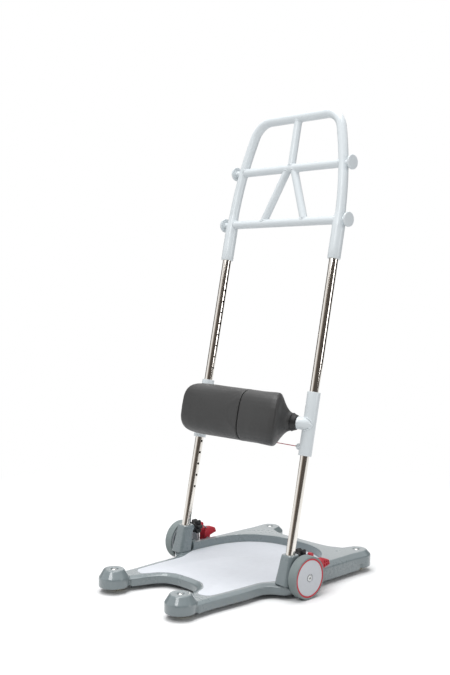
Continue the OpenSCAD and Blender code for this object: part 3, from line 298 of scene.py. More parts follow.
def eased(name, node, body, slot, width, segments=3, angle=30):
    """A solid with its sharp edges broken."""
    obj = cad_copy(name, node)
    with edited(obj.data) as bm:
        bmesh.ops.dissolve_limit(bm, angle_limit=math.radians(1), verts=bm.verts, edges=bm.edges)
    bevel = obj.modifiers.new("eased edges", "BEVEL")
    bevel.width = width * MM
    bevel.segments = segments
    bevel.limit_method = "ANGLE"
    bevel.angle_limit = math.radians(angle)
    settled(obj)
    shaded(obj.data, 40)
    return finish(obj, body, slot, (node,))


def levelled(mesh, heights, reach):
    """Bring points that lie just under a flat top up to it."""
    for vertex in mesh.vertices:
        for height in heights:
            if 0 < height * MM - vertex.co.z < reach * MM:
                vertex.co.z = height * MM


def remeshed(obj, voxel):
    """One new skin round an object, made on a grid."""
    skin = obj.modifiers.new("skin", "REMESH")
    skin.mode = "VOXEL"
    skin.voxel_size = voxel
    return skin


def cast_skin(name, node, body, slot, voxel, rounds, keep, tops=()):
    """A solid as a casting: one skin whose edges and inner corners are softly rounded."""
    obj = cad_copy(name, node)
    levelled(obj.data, tops, 0.5)
    remeshed(obj, voxel * MM).use_smooth_shade = True
    soften = obj.modifiers.new("soften", "SMOOTH")
    soften.factor = 0.5
    soften.iterations = rounds
    thin = obj.modifiers.new("thin", "DECIMATE")
    thin.ratio = keep
    settled(obj)
    shaded(obj.data, 60)
    return finish(obj, body, slot, (node,))


# Settings

class TurnerColours(bpy.types.PropertyGroup):
    """Colours of the finishes"""


class TurnerSizes(bpy.types.PropertyGroup):
    """Sizes of the finishing details"""


def colour_setting(label, words, rgb):
    return bpy.props.FloatVectorProperty(
        name=label, description=words, subtype="COLOR", size=3, min=0, max=1,
        default=tuple(((c / 255 + 0.055) / 1.055) ** 2.4 if c > 10 else c / 255 / 12.92 for c in rgb))


def length_setting(label, words, default):
    return bpy.props.FloatProperty(name=label, description=words, default=default * MM, min=0,
                                   unit="LENGTH", subtype="DISTANCE", precision=5)


TurnerColours.__annotations__ = {
    "casting": colour_setting("Casting", "Grey paint of the base casting and of the sockets",
        (125, 136, 139)),
    "mat": colour_setting("Mat", "Pale vinyl of the foot mat", (222, 225, 231)),
    "tyre": colour_setting("Tyre", "Grey rubber of the side wheels", (138, 148, 148)),
    "cover": colour_setting("Cover", "Pale plastic of the hubs and their covers", (213, 216, 221)),
    "red": colour_setting("Red", "Red plastic of trim rings, pedals and tabs", (205, 40, 58)),
    "white": colour_setting("Handle", "White enamel of the handle and of the sleeves", (223, 229, 232)),
    "steel": colour_setting("Steel", "Bright steel of bolts, pins and forks", (196, 198, 198)),
    "post": colour_setting("Posts", "Polished steel of the posts", (234, 230, 224)),
    "pad": colour_setting("Pad", "Charcoal skin of the leg pad", (54, 54, 54)),
    "black": colour_setting("Black", "Black plastic of knobs, collars and grip", (22, 22, 24)),
    "castor": colour_setting("Castor", "Amber urethane of the castor wheels", (207, 195, 154)),
}
TurnerSizes.__annotations__ = {
    "casting_voxel": length_setting("Casting grid", "Grid on which the skin of the casting is made", 1.5),
    "socket_voxel": length_setting("Socket grid", "Grid on which the skin of a socket is made", 1.0),
    "pad_voxel": length_setting("Pad grid", "Grid on which the pad is made before it swells", 2.6),
    "pad_shrink": length_setting("Pad shrink", "How much smaller the pad is before it swells", 1.0),
    "pad_cap": length_setting("Pad swell", "Furthest that the skin of the pad may swell", 6.0),
    "bead_r": length_setting("Weld bead", "Radius of a ripple in the painted weld seams", 1.7),
    "bead_pitch": length_setting("Weld pitch", "Distance between two ripples of a weld seam", 1.6),
}


def colours():
    return bpy.context.scene.turner_colours


def sizes():
    return bpy.context.scene.turner_sizes


# Shader groups that several finishes share

def shader_group(name, inputs, outputs):
    tree = bpy.data.node_groups.new(name, "ShaderNodeTree")
    for label, kind, default in inputs:
        socket = tree.interface.new_socket(label, in_out="INPUT", socket_type=kind)
        if default is not None:
            socket.default_value = default
    for label, kind in outputs:
        tree.interface.new_socket(label, in_out="OUTPUT", socket_type=kind)
    return tree, tree.nodes.new("NodeGroupInput"), tree.nodes.new("NodeGroupOutput")


def shared(build):
    """The node group that a function of the same name makes, made once."""
    return bpy.data.node_groups.get(build.__name__) or build()


def feed(tree, socket, x):
    """Link one socket to another, or set a value on it."""
    if isinstance(x, bpy.types.NodeSocket):
        tree.links.new(x, socket)
    else:
        socket.default_value = x


def noise(tree, vector, scale, detail=3.0, rough=0.55):
    node = tree.nodes.new("ShaderNodeTexNoise")
    node.inputs["Detail"].default_value = detail
    node.inputs["Roughness"].default_value = rough
    tree.links.new(vector, node.inputs["Vector"])
    feed(tree, node.inputs["Scale"], scale)
    return node.outputs["Fac"]


def ranged(tree, value, low, high, to_low, to_high):
    node = tree.nodes.new("ShaderNodeMapRange")
    tree.links.new(value, node.inputs["Value"])
    for label, x in (("From Min", low), ("From Max", high), ("To Min", to_low), ("To Max", to_high)):
        feed(tree, node.inputs[label], x)
    return node.outputs["Result"]


def mixed(tree, factor, a, b):
    node = tree.nodes.new("ShaderNodeMix")
    node.data_type = "RGBA"
    for socket, x in ((node.inputs[0], factor), (node.inputs[6], a), (node.inputs[7], b)):
        feed(tree, socket, x)
    return node.outputs[2]


def summed(tree, a, b, operation="ADD"):
    node = tree.nodes.new("ShaderNodeMath")
    node.operation = operation
    for socket, x in zip(node.inputs, (a, b)):
        feed(tree, socket, x)
    return node.outputs[0]


def tone_drift():
    """Colour that wanders slowly over a surface, with finer mottling inside it."""
    tree, given, out = shader_group("tone_drift", [
        ("Vector", "NodeSocketVector", None), ("Colour", "NodeSocketColor", (0.5, 0.5, 0.5, 1)),
        ("Second colour", "NodeSocketColor", (0.4, 0.4, 0.4, 1)),
        ("Scale", "NodeSocketFloat", 8.0), ("Fine scale", "NodeSocketFloat", 90.0)],
        [("Colour", "NodeSocketColor"), ("Mask", "NodeSocketFloat")])
    broad = noise(tree, given.outputs["Vector"], given.outputs["Scale"], 2.0)
    fine = noise(tree, given.outputs["Vector"], given.outputs["Fine scale"], 4.0)
    mask = summed(tree, ranged(tree, broad, 0.3, 0.7, 0.0, 0.65), ranged(tree, fine, 0.35, 0.7, 0.0, 0.35))
    tree.links.new(mask, out.inputs["Mask"])
    tree.links.new(mixed(tree, mask, given.outputs["Colour"], given.outputs["Second colour"]),
        out.inputs["Colour"])
    return tree


def skin_grain():
    """Height of a fine skin: orange peel of paint, or the pebbles of moulded foam and vinyl."""
    tree, given, out = shader_group("skin_grain", [
        ("Vector", "NodeSocketVector", None), ("Scale", "NodeSocketFloat", 900.0),
        ("Pebbles", "NodeSocketFloat", 0.5)],
        [("Height", "NodeSocketFloat")])
    cells = tree.nodes.new("ShaderNodeTexVoronoi")
    cells.feature = "SMOOTH_F1"
    tree.links.new(given.outputs["Vector"], cells.inputs["Vector"])
    tree.links.new(given.outputs["Scale"], cells.inputs["Scale"])
    soft = noise(tree, given.outputs["Vector"], given.outputs["Scale"], 2.0)
    pebbles = summed(tree, summed(tree, 1.0, cells.outputs["Distance"], "SUBTRACT"),
                     given.outputs["Pebbles"], "MULTIPLY")
    tree.links.new(summed(tree, pebbles, soft), out.inputs["Height"])
    return tree


def handling_marks():
    """Mask of faint rubbed lines and small scuffs from use."""
    tree, given, out = shader_group("handling_marks", [
        ("Vector", "NodeSocketVector", None), ("Scale", "NodeSocketFloat", 60.0),
        ("Amount", "NodeSocketFloat", 0.3)],
        [("Mask", "NodeSocketFloat")])
    stretch = tree.nodes.new("ShaderNodeMapping")
    stretch.inputs["Rotation"].default_value = (0.4, 0.9, 0.5)
    stretch.inputs["Scale"].default_value = (1.0, 7.0, 3.0)
    tree.links.new(given.outputs["Vector"], stretch.inputs["Vector"])
    lines = noise(tree, stretch.outputs["Vector"], given.outputs["Scale"], 6.0, 0.7)
    where = noise(tree, given.outputs["Vector"], 14.0, 2.0)
    mask = summed(tree, ranged(tree, lines, 0.62, 0.74, 0.0, 1.0), ranged(tree, where, 0.5, 0.66, 0.0, 1.0),
        "MULTIPLY")
    tree.links.new(summed(tree, mask, given.outputs["Amount"], "MULTIPLY"), out.inputs["Mask"])
    return tree


def drawn_lines():
    """Height and mask of the long lines that drawing and polishing leave on steel."""
    tree, given, out = shader_group("drawn_lines", [
        ("Vector", "NodeSocketVector", None), ("Lean", "NodeSocketVector", (0.0, 0.0, 0.0)),
        ("Scale", "NodeSocketFloat", 900.0), ("Stretch", "NodeSocketVector", (1.0, 1.0, 0.02))],
        [("Height", "NodeSocketFloat"), ("Mask", "NodeSocketFloat")])
    turn = tree.nodes.new("ShaderNodeMapping")
    tree.links.new(given.outputs["Vector"], turn.inputs["Vector"])
    tree.links.new(given.outputs["Lean"], turn.inputs["Rotation"])
    long = tree.nodes.new("ShaderNodeVectorMath")
    long.operation = "MULTIPLY"
    tree.links.new(turn.outputs["Vector"], long.inputs[0])
    tree.links.new(given.outputs["Stretch"], long.inputs[1])
    lines = noise(tree, long.outputs["Vector"], given.outputs["Scale"], 4.0, 0.6)
    tree.links.new(lines, out.inputs["Height"])
    tree.links.new(ranged(tree, lines, 0.3, 0.7, 0.0, 1.0), out.inputs["Mask"])
    return tree


# Finishes: second colour as a share of the first, tone scales, roughness from and to,
# grain scale, pebbles, bump strength and distance, marks, and values set on the shader itself
FINISHES = {
    "casting": dict(second=0.88, tones=(7, 120), rough=(0.24, 0.34), grain=(700, 0.2), bump=(0.06, 0.0005),
                    marks=(45, 0.05), shader={"Coat Weight": 0.8, "Coat Roughness": 0.08}),
    "mat": dict(second=0.93, tones=(6, 70), rough=(0.46, 0.6), grain=(520, 1.0), bump=(0.22, 0.0006),
                marks=(30, 0.35), shader={}),
    "tyre": dict(second=0.84, tones=(20, 220), rough=(0.58, 0.74), grain=(1100, 0.5), bump=(0.2, 0.0005),
                 marks=(80, 0.4), shader={}),
    "cover": dict(second=0.93, tones=(14, 160), rough=(0.32, 0.44), grain=(1300, 0.3), bump=(0.06, 0.0004),
                  marks=(70, 0.3), shader={}),
    "red": dict(second=0.78, tones=(25, 240), rough=(0.3, 0.42), grain=(1500, 0.5), bump=(0.1, 0.0004),
                marks=(90, 0.3), shader={}),
    "white": dict(second=0.94, tones=(9, 130), rough=(0.26, 0.36), grain=(620, 0.2), bump=(0.07, 0.0006),
                  marks=(55, 0.25), shader={"Coat Weight": 0.1, "Coat Roughness": 0.15}),
    "steel": dict(second=0.8, tones=(40, 300), rough=(0.2, 0.34), grain=(1500, 0.3), bump=(0.05, 0.0003),
                  marks=(120, 0.4), shader={"Metallic": 1.0}),
    "pad": dict(second=0.86, tones=(10, 160), rough=(0.44, 0.56), grain=(800, 0.9), bump=(0.16, 0.0006),
                marks=(40, 0.2), shader={"Sheen Weight": 0.06, "Sheen Roughness": 0.4}),
    "black": dict(second=0.7, tones=(25, 260), rough=(0.4, 0.54), grain=(1200, 0.7), bump=(0.14, 0.0005),
                  marks=(80, 0.3), shader={}),
    "castor": dict(second=0.85, tones=(40, 300), rough=(0.34, 0.46), grain=(1300, 0.4), bump=(0.1, 0.0004),
                   marks=(90, 0.3), shader={}),
}


def placed_group(tree, build, vector, values):
    node = tree.nodes.new("ShaderNodeGroup")
    node.node_tree = shared(build)
    tree.links.new(vector, node.inputs["Vector"])
    for label, x in values.items():
        node.inputs[label].default_value = x
    return node


def new_material(name):
    found = bpy.data.materials.new(name)
    found.use_nodes = True
    tree = found.node_tree
    place = tree.nodes.new("ShaderNodeTexCoord").outputs["Object"]
    return found, tree, tree.nodes["Principled BSDF"], place


def bumped(tree, shader, height, strength, distance):
    bump = tree.nodes.new("ShaderNodeBump")
    bump.inputs["Strength"].default_value = strength
    bump.inputs["Distance"].default_value = distance
    tree.links.new(height, bump.inputs["Height"])
    tree.links.new(bump.outputs["Normal"], shader.inputs["Normal"])


def shade(colour, share):
    return tuple(c * share for c in colour) + (1.0,)


def plain_finish(slot):
    """Paint, plastic, rubber, vinyl or foam: drifting tone, fine grain and faint marks."""
    spec = FINISHES[slot]
    found, tree, shader, place = new_material("finish_" + slot)
    colour = getattr(colours(), slot)
    tone = placed_group(tree, tone_drift, place, {
        "Colour": shade(colour, 1.0), "Second colour": shade(colour, spec["second"]),
        "Scale": spec["tones"][0], "Fine scale": spec["tones"][1]})
    marks = placed_group(tree, handling_marks, place,
        {"Scale": spec["marks"][0], "Amount": spec["marks"][1]})
    grain = placed_group(tree, skin_grain, place, {"Scale": spec["grain"][0], "Pebbles": spec["grain"][1]})
    worn = mixed(tree, marks.outputs["Mask"], tone.outputs["Colour"], shade(colour, 0.62))
    tree.links.new(worn, shader.inputs["Base Color"])
    rough = ranged(tree, tone.outputs["Mask"], 0.0, 1.0, *spec["rough"])
    tree.links.new(summed(tree, rough, summed(tree, marks.outputs["Mask"], 0.25, "MULTIPLY")),
        shader.inputs["Roughness"])
    bumped(tree, shader, grain.outputs["Height"], *spec["bump"])
    for label, x in spec["shader"].items():
        shader.inputs[label].default_value = x
    return found


def post_finish():
    """Polished tube: long draw lines along the leaning posts, with painted shade inside the bore and the
    holes.
    """
    found, tree, shader, place = new_material("finish_post")
    colour = colours().post
    lines = placed_group(tree, drawn_lines, place, {"Lean": (LEAN, 0.0, 0.0), "Scale": 900.0})
    tone = placed_group(tree, tone_drift, place, {
        "Colour": shade(colour, 1.0), "Second colour": shade(colour, 0.88), "Scale": 6.0,
            "Fine scale": 80.0})
    marks = placed_group(tree, handling_marks, place, {"Scale": 70.0, "Amount": 0.2})
    # Painted shade: faces inside the bore and on the walls of the holes get an almost black colour and a
    # rougher finish, in place of the shade inside the tube.
    inside = tree.nodes.new("ShaderNodeAttribute")
    inside.attribute_name = "inside"
    rubbed = mixed(tree, marks.outputs["Mask"], tone.outputs["Colour"], shade(colour, 0.7))
    tree.links.new(mixed(tree, inside.outputs["Fac"], rubbed, shade(colour, 0.02)),
        shader.inputs["Base Color"])
    rough = ranged(tree, lines.outputs["Mask"], 0.0, 1.0, 0.06, 0.13)
    rough = summed(tree, rough, summed(tree, marks.outputs["Mask"], 0.3, "MULTIPLY"))
    tree.links.new(summed(tree, rough, summed(tree, inside.outputs["Fac"], 0.6, "MULTIPLY")),
        shader.inputs["Roughness"])
    shader.inputs["Metallic"].default_value = 1.0
    bumped(tree, shader, lines.outputs["Height"], 0.03, 0.0002)
    return found


def material(slot):
    found = bpy.data.materials.get("finish_" + slot)
    if found:
        return found
    return post_finish() if slot == "post" else plain_finish(slot)


# Geometry Nodes

def node_tree(name, inputs):
    tree = bpy.data.node_groups.new(name, "GeometryNodeTree")
    tree.interface.new_socket("Geometry", in_out="INPUT", socket_type="NodeSocketGeometry")
    for label, kind, default in inputs:
        socket = tree.interface.new_socket(label, in_out="INPUT", socket_type=kind)
        if default is not None:
            socket.default_value = default
    tree.interface.new_socket("Geometry", in_out="OUTPUT", socket_type="NodeSocketGeometry")
    given, out = tree.nodes.new("NodeGroupInput"), tree.nodes.new("NodeGroupOutput")

    def add(kind, links=None, values=None, **settings):
        node = tree.nodes.new(kind)
        for label, x in settings.items():
            setattr(node, label, x)
        for label, x in (values or {}).items():
            node.inputs[label].default_value = x
        for label, source in (links or {}).items():
            tree.links.new(source, node.inputs[label])
        return node

    def close(geometry):
        real = add("GeometryNodeRealizeInstances", {"Geometry": geometry})
        dressed = add("GeometryNodeSetMaterial",
            {"Geometry": real.outputs[0], "Material": given.outputs["Material"]})
        tree.links.new(dressed.outputs[0], out.inputs["Geometry"])

    return tree, given, add, close


def grown(name, tree, mesh, values):
    """Run a tree on a mesh and return the result as a plain mesh."""
    host = linked(name, mesh)
    nodes = host.modifiers.new("nodes", "NODES")
    nodes.node_group = tree
    for item in tree.interface.items_tree:
        if item.item_type == "SOCKET" and item.in_out == "INPUT" and item.name in values:
            nodes[item.identifier] = values[item.name]
    host.update_tag()
    bpy.context.view_layer.update()
    deps = bpy.context.evaluated_depsgraph_get()
    result = bpy.data.meshes.new_from_object(host.evaluated_get(deps))
    host.modifiers.clear()
    bpy.data.objects.remove(host)
    if not len(result.vertices):
        raise RuntimeError(f"the node tree {tree.name} made nothing")
    result.name = name
    return result


def perforated_post():
    """A tube with two rows of cross holes on one side, upright at the origin."""
    tree, given, add, close = node_tree("perforated_post", [
        ("Radius", "NodeSocketFloat", POST_R * MM), ("Wall", "NodeSocketFloat", POST_WALL * MM),
        ("Length", "NodeSocketFloat", 0.8), ("Hole radius", "NodeSocketFloat", HOLE_R * MM),
        ("Pitch", "NodeSocketFloat", HOLE_PITCH * MM), ("Low hole", "NodeSocketFloat", 0.1),
        ("Low holes", "NodeSocketInt", LOW_HOLES), ("High hole", "NodeSocketFloat", 0.4),
        ("High holes", "NodeSocketInt", HIGH_HOLES), ("Side", "NodeSocketFloat", 1.0),
        ("Material", "NodeSocketMaterial", None)])
    g = given.outputs
    outer = add("GeometryNodeMeshCylinder", {"Radius": g["Radius"], "Depth": g["Length"]}, {"Vertices": 64})
    inner_r = add("ShaderNodeMath", {0: g["Radius"], 1: g["Wall"]}, operation="SUBTRACT")
    longer = add("ShaderNodeMath", {0: g["Length"]}, {1: 1.1}, operation="MULTIPLY")
    inner = add("GeometryNodeMeshCylinder", {"Radius": inner_r.outputs[0], "Depth": longer.outputs[0]},
        {"Vertices": 64})
    drill = add("GeometryNodeMeshCylinder", {"Radius": g["Hole radius"], "Depth": g["Radius"]},
        {"Vertices": 24})
    turned = add("GeometryNodeTransform", {"Geometry": drill.outputs["Mesh"]},
        {"Rotation": (0, math.pi / 2, 0)})
    across = add("ShaderNodeMath", {0: g["Radius"], 1: g["Side"]}, operation="MULTIPLY")
    rise = add("ShaderNodeCombineXYZ", {"Z": g["Pitch"]})
    rows = []
    for first, count in (("Low hole", "Low holes"), ("High hole", "High holes")):
        start = add("ShaderNodeCombineXYZ", {"X": across.outputs[0], "Z": g[first]})
        line = add("GeometryNodeMeshLine", {"Count": g[count], "Start Location": start.outputs[0],
                                            "Offset": rise.outputs[0]})
        rows.append(add("GeometryNodeInstanceOnPoints",
            {"Points": line.outputs[0], "Instance": turned.outputs[0]}))
    cutters = add("GeometryNodeJoinGeometry")
    for source in [inner.outputs["Mesh"]] + [row.outputs[0] for row in rows]:
        tree.links.new(source, cutters.inputs[0])
    real = add("GeometryNodeRealizeInstances", {"Geometry": cutters.outputs[0]})
    bored = add("GeometryNodeMeshBoolean", {"Mesh 1": outer.outputs["Mesh"], "Mesh 2": real.outputs[0]},
                {"Self Intersection": True}, operation="DIFFERENCE", solver="EXACT")
    close(bored.outputs["Mesh"])
    return tree


def weld_seam():
    """Ripples of a weld along the lines of a mesh."""
    tree, given, add, close = node_tree("weld_seam", [
        ("Pitch", "NodeSocketFloat", 0.0016), ("Bead radius", "NodeSocketFloat", 0.0017),
        ("Material", "NodeSocketMaterial", None)])
    g = given.outputs
    curve = add("GeometryNodeMeshToCurve", {"Mesh": g["Geometry"]})
    spaced = add("GeometryNodeResampleCurve", {"Curve": curve.outputs[0], "Length": g["Pitch"]},
        mode="LENGTH")
    bead = add("GeometryNodeMeshUVSphere", {"Radius": g["Bead radius"]}, {"Segments": 10, "Rings": 6})
    placed = add("GeometryNodeInstanceOnPoints",
        {"Points": spaced.outputs[0], "Instance": bead.outputs["Mesh"]})
    smooth = add("GeometryNodeSetShadeSmooth", {"Geometry": placed.outputs[0]})
    close(smooth.outputs[0])
    return tree


def set_out():
    """The same small part on every point of a mesh, turned by the points' own angles."""
    tree, given, add, close = node_tree("set_out", [
        ("Part", "NodeSocketObject", None), ("Material", "NodeSocketMaterial", None)])
    g = given.outputs
    part = add("GeometryNodeObjectInfo", {"Object": g["Part"]})
    angles = add("GeometryNodeInputNamedAttribute", values={"Name": "turn"}, data_type="FLOAT_VECTOR")
    turn = add("FunctionNodeEulerToRotation", {0: angles.outputs["Attribute"]})
    placed = add("GeometryNodeInstanceOnPoints",
        {"Points": g["Geometry"], "Instance": part.outputs["Geometry"],
                                                  "Rotation": turn.outputs[0]})
    close(placed.outputs[0])
    return tree


def repeated(name, shape, spots, body, slot, nodes):
    """One small turned part at several places: each spot is a point in millimetres and three angles."""
    part = linked(name + "_part", solid(name + "_part", shape))
    points = bpy.data.meshes.new(name + "_points")
    points.from_pydata([tuple(MM * x for x in spot[0]) for spot in spots], [], [])
    turns = points.attributes.new("turn", "FLOAT_VECTOR", "POINT")
    turns.data.foreach_set("vector", [x for spot in spots for x in spot[1]])
    tree = shared(set_out)
    mesh = grown(name, tree, points, {"Part": part, "Material": material(slot)})
    bpy.data.objects.remove(part)
    for attribute in [a for a in mesh.attributes if a.name == "turn"]:
        mesh.attributes.remove(attribute)
    return finish(linked(name, shaded(cleaned(mesh))), body, slot, nodes)


def grip_ribs():
    """Rings spaced along a straight grip."""
    tree, given, add, close = node_tree("grip_ribs", [
        ("Radius", "NodeSocketFloat", 0.006), ("Rib radius", "NodeSocketFloat", 0.0007),
        ("Pitch", "NodeSocketFloat", 0.006), ("Count", "NodeSocketInt", 13),
        ("Material", "NodeSocketMaterial", None)])
    g = given.outputs
    ring = add("GeometryNodeCurvePrimitiveCircle", {"Radius": g["Radius"]}, {"Resolution": 40},
        mode="RADIUS")
    section = add("GeometryNodeCurvePrimitiveCircle", {"Radius": g["Rib radius"]}, {"Resolution": 8},
        mode="RADIUS")
    rib = add("GeometryNodeCurveToMesh", {"Curve": ring.outputs[0], "Profile Curve": section.outputs[0]})
    turned = add("GeometryNodeTransform", {"Geometry": rib.outputs[0]}, {"Rotation": (0, math.pi / 2, 0)})
    offset = add("ShaderNodeCombineXYZ", {"X": g["Pitch"]})
    back = add("ShaderNodeMath", {0: g["Count"]}, {1: 1.0}, operation="SUBTRACT")
    half = add("ShaderNodeMath", {0: back.outputs[0]}, {1: -0.5}, operation="MULTIPLY")
    first = add("ShaderNodeMath", {0: half.outputs[0], 1: g["Pitch"]}, operation="MULTIPLY")
    start = add("ShaderNodeCombineXYZ", {"X": first.outputs[0]})
    line = add("GeometryNodeMeshLine", {"Count": g["Count"], "Start Location": start.outputs[0],
                                        "Offset": offset.outputs[0]})
    placed = add("GeometryNodeInstanceOnPoints", {"Points": line.outputs[0], "Instance": turned.outputs[0]})
    smooth = add("GeometryNodeSetShadeSmooth", {"Geometry": placed.outputs[0]})
    close(smooth.outputs[0])
    return tree


# Pieces

class TURNER_OT_base(bpy.types.Operator):
    """Make the base casting, the foot mat, the sockets and the pins in them"""
    bl_idname = "turner.base"
    bl_label = "Base"

    def execute(self, context):
        cast_skin("casting_skin", "base_casting", "base", "casting", sizes().casting_voxel / MM, 10, 0.32,
            (DECK_Z, PLATE_Z))
        for word in WORDS:
            cast_skin(f"{word}_socket_skin", f"{word}_post_socket", "base", "casting",
                sizes().socket_voxel / MM, 8, 0.5)
        eased("mat_sheet", "foot_mat", "base", "mat", 0.7, 3, 50)
        head = [(0, KING_TOP_Z + 1.6), (2.6, KING_TOP_Z + 1.4), (5.0, KING_TOP_Z + 0.7),
            (6.6, KING_TOP_Z - 0.4),
                (KING_CAP_R, KING_TOP_Z - 1.4), (KING_CAP_R, KING_SEAT_Z), (KING_R, KING_SEAT_Z),
                    (KING_R, KING_FOOT_Z + 1.6),
                (KING_HEAD_R, KING_FOOT_Z + 1.6), (KING_HEAD_R, KING_FOOT_Z + 0.3),
                    (KING_HEAD_R - 0.6, KING_FOOT_Z),
                (0, KING_FOOT_Z)]
        spots = [((side * x, end * LOBE_Y, 0), (0, 0, 0)) for side in (LEFT, RIGHT)
                 for end, x in ((-1, FRONT_LOBE_X), (1, BACK_LOBE_X))]
        repeated("castor_pins", lathe(head, 48), spots, "base", "steel", ("kingpins",))
        axle = filleted([(0, 23.6), (AXLE_HEAD_R, 23.6), (AXLE_HEAD_R, 21.5), (AXLE_R, 21.5),
            (AXLE_R, -34.5), (0, -34.5)],
                        [0, 1.2, 0.3, 0.2, 0.5, 0])
        socket = [(0, 21.9), (2.6, 21.9), (2.9, 23.6), (6.0, 23.6)]
        axle = socket + [p for p in axle if p[0] > 6.0 or p[1] < 23]
        bolts = [((side * WHEEL_IN_X, WHEEL_Y, WHEEL_R), (0, side * math.pi / 2, 0)) for side in (LEFT,
            RIGHT)]
        repeated("wheel_bolts", lathe(axle, 48), bolts, "base", "steel", ("axle_bolts",))
        for node in ("socket_screws", "brake_pivot_pins"):
            eased(node + "_eased", node, "base", "steel", 0.4)
        return {"FINISHED"}


class TURNER_OT_wheels(bpy.types.Operator):
    """Make the two side wheels"""
    bl_idname = "turner.wheels"
    bl_label = "Side wheels"

    def execute(self, context):
        hub_w = TYRE_W - COVER_THICK
        tyre = filleted([(TYRE_IN_R, 0), (WHEEL_R - 0.3, 0), (WHEEL_R, 5), (WHEEL_R, TYRE_W - 5),
                         (WHEEL_R - 0.3, TYRE_W), (TYRE_IN_R, TYRE_W)], [0.3, 3, 6, 6, 3, 0.3])
        ring = filleted([(COVER_R, hub_w), (TYRE_IN_R, hub_w), (TYRE_IN_R, TYRE_W), (COVER_R, TYRE_W)],
            [0.2, 0.2, 0.7, 0.7])
        cover = filleted([(AXLE_HEAD_R + 0.5, hub_w), (COVER_R, hub_w), (COVER_R, TYRE_W - 0.5),
            (COVER_R - 3, TYRE_W - 0.1),
                          (11, TYRE_W), (9.9, TYRE_W), (9.5, TYRE_W - 2.5),
                              (AXLE_HEAD_R + 0.5, TYRE_W - 2.5)],
                         [0.2, 0.2, 0.5, 2, 0.6, 0.5, 0.2, 0.1])
        dish = hub_w / 2
        hub = filleted([(BEARING_R, 0), (16, 0), (16, dish), (41, dish), (41, 0), (TYRE_IN_R, 0),
            (TYRE_IN_R, hub_w),
                        (BEARING_R, hub_w), (BEARING_R, hub_w - BEARING_W), (7, hub_w - BEARING_W),
                            (7, BEARING_W),
                        (BEARING_R, BEARING_W)], [0.3, 0.8, 2.5, 2.5, 0.8, 0.3, 0.2, 0.2, 0, 0, 0, 0])
        for side, word in SIDES:
            place = Matrix.Translation((side * WHEEL_IN_X, WHEEL_Y, WHEEL_R)) @ facing(side)
            body = f"{word}_wheel"
            piece(f"{word}_tyre_rubber", lathe(tyre, 128), body, "tyre", (f"{word}_tyre",), place)
            piece(f"{word}_ring_red", lathe(ring, 128), body, "red", (f"{word}_trim_ring",), place)
            piece(f"{word}_cover_disc", lathe(cover, 128), body, "cover", (f"{word}_hub_cover",), place)
            piece(f"{word}_hub_body", lathe(hub, 96), body, "cover", (f"{word}_wheel_hub",), place)
            eased(f"{word}_bearing_pair", f"{word}_wheel_bearings", body, "steel", 0.3)
        return {"FINISHED"}


class TURNER_OT_castors(bpy.types.Operator):
    """Make the four castors"""
    bl_idname = "turner.castors"
    bl_label = "Castors"

    def execute(self, context):
        half = CASTOR_W / 2
        tread = filleted([(CASTOR_AXLE_R, -half), (5, -half), (5.6, -half + 1.2), (10.5, -half + 1.2),
            (11.2, -half),
                          (CASTOR_R - 0.2, -half), (CASTOR_R, 0), (CASTOR_R - 0.2, half), (11.2, half),
                              (10.5, half - 1.2),
                          (5.6, half - 1.2), (5, half), (CASTOR_AXLE_R, half)],
                         [0.2, 0.4, 0.5, 0.5, 0.4, 2.4, 9, 2.4, 0.4, 0.5, 0.5, 0.4, 0.2])
        for end, way, x in (("front", -1, FRONT_LOBE_X), ("back", 1, BACK_LOBE_X)):
            for side, word in SIDES:
                name = f"{end}_{word}"
                place = Matrix.Translation((side * x, way * LOBE_Y + CASTOR_TRAIL, CASTOR_R)) @ ALONG_X
                piece(f"{name}_roller_tread", lathe(tread, 72), f"{name}_roller", "castor",
                    (f"{name}_castor_wheel",), place)
                eased(f"{name}_fork_plate", f"{name}_fork", f"{name}_swivel", "steel", 0.5)
                eased(f"{name}_axle_pin", f"{name}_castor_axle", frame_body(f"{name}_castor_axle"), "steel",
                    0.4)
        return {"FINISHED"}


class TURNER_OT_brakes(bpy.types.Operator):
    """Make the two brakes"""
    bl_idname = "turner.brakes"
    bl_label = "Brakes"

    def execute(self, context):
        for word in WORDS:
            body = f"{word}_brake"
            eased(f"{word}_pedal_moulding", f"{word}_brake_pedal", body, "red", 0.6)
            eased(f"{word}_strap_plate", f"{word}_brake_strap", body, "steel", 0.35)
            eased(f"{word}_tab_moulding", f"{word}_release_tab", body, "red", 0.9, 4)
        return {"FINISHED"}


def knob_shape():
    """A star knob about Z, from its seat upwards: rings with lobes that fade in and out."""
    steps, verts, faces = 144, [], []
    stations = [(0.5, 9.6, 0.0), (1.0, 10.2, 0.0), (4.6, 10.8, 0.0), (5.4, 11.4, 0.35), (6.0, 11.7, 0.7),
        (7.0, 12.0, 0.93),
                (8.5, 12.0, 1.0), (17.5, 12.0, 1.0), (19.6, 12.0, 0.95), (20.8, 11.7, 0.82),
                    (21.6, 11.2, 0.6),
                (22.3, 10.6, 0.35), (23.2, 9.6, 0.12), (24.0, 8.0, 0.03), (24.4, 5.0, 0.0),
                    (24.5, 1.5, 0.0)]
    for z, core, lobes in stations:
        for k in range(steps):
            a = 2 * math.pi * k / steps
            swell = (0.5 + 0.5 * math.cos(KNOB_GRIPS * a)) ** 0.75
            r = core + lobes * (KNOB_TIP_R - KNOB_CORE_R) * swell
            verts.append((r * math.cos(a), r * math.sin(a), z))
    for j in range(len(stations) - 1):
        for k in range(steps):
            m = (k + 1) % steps
            faces.append((j * steps + k, j * steps + m, (j + 1) * steps + m, (j + 1) * steps + k))
    faces += [tuple(range(steps)), tuple(range((len(stations) - 1) * steps, len(stations) * steps))]
    return verts, faces


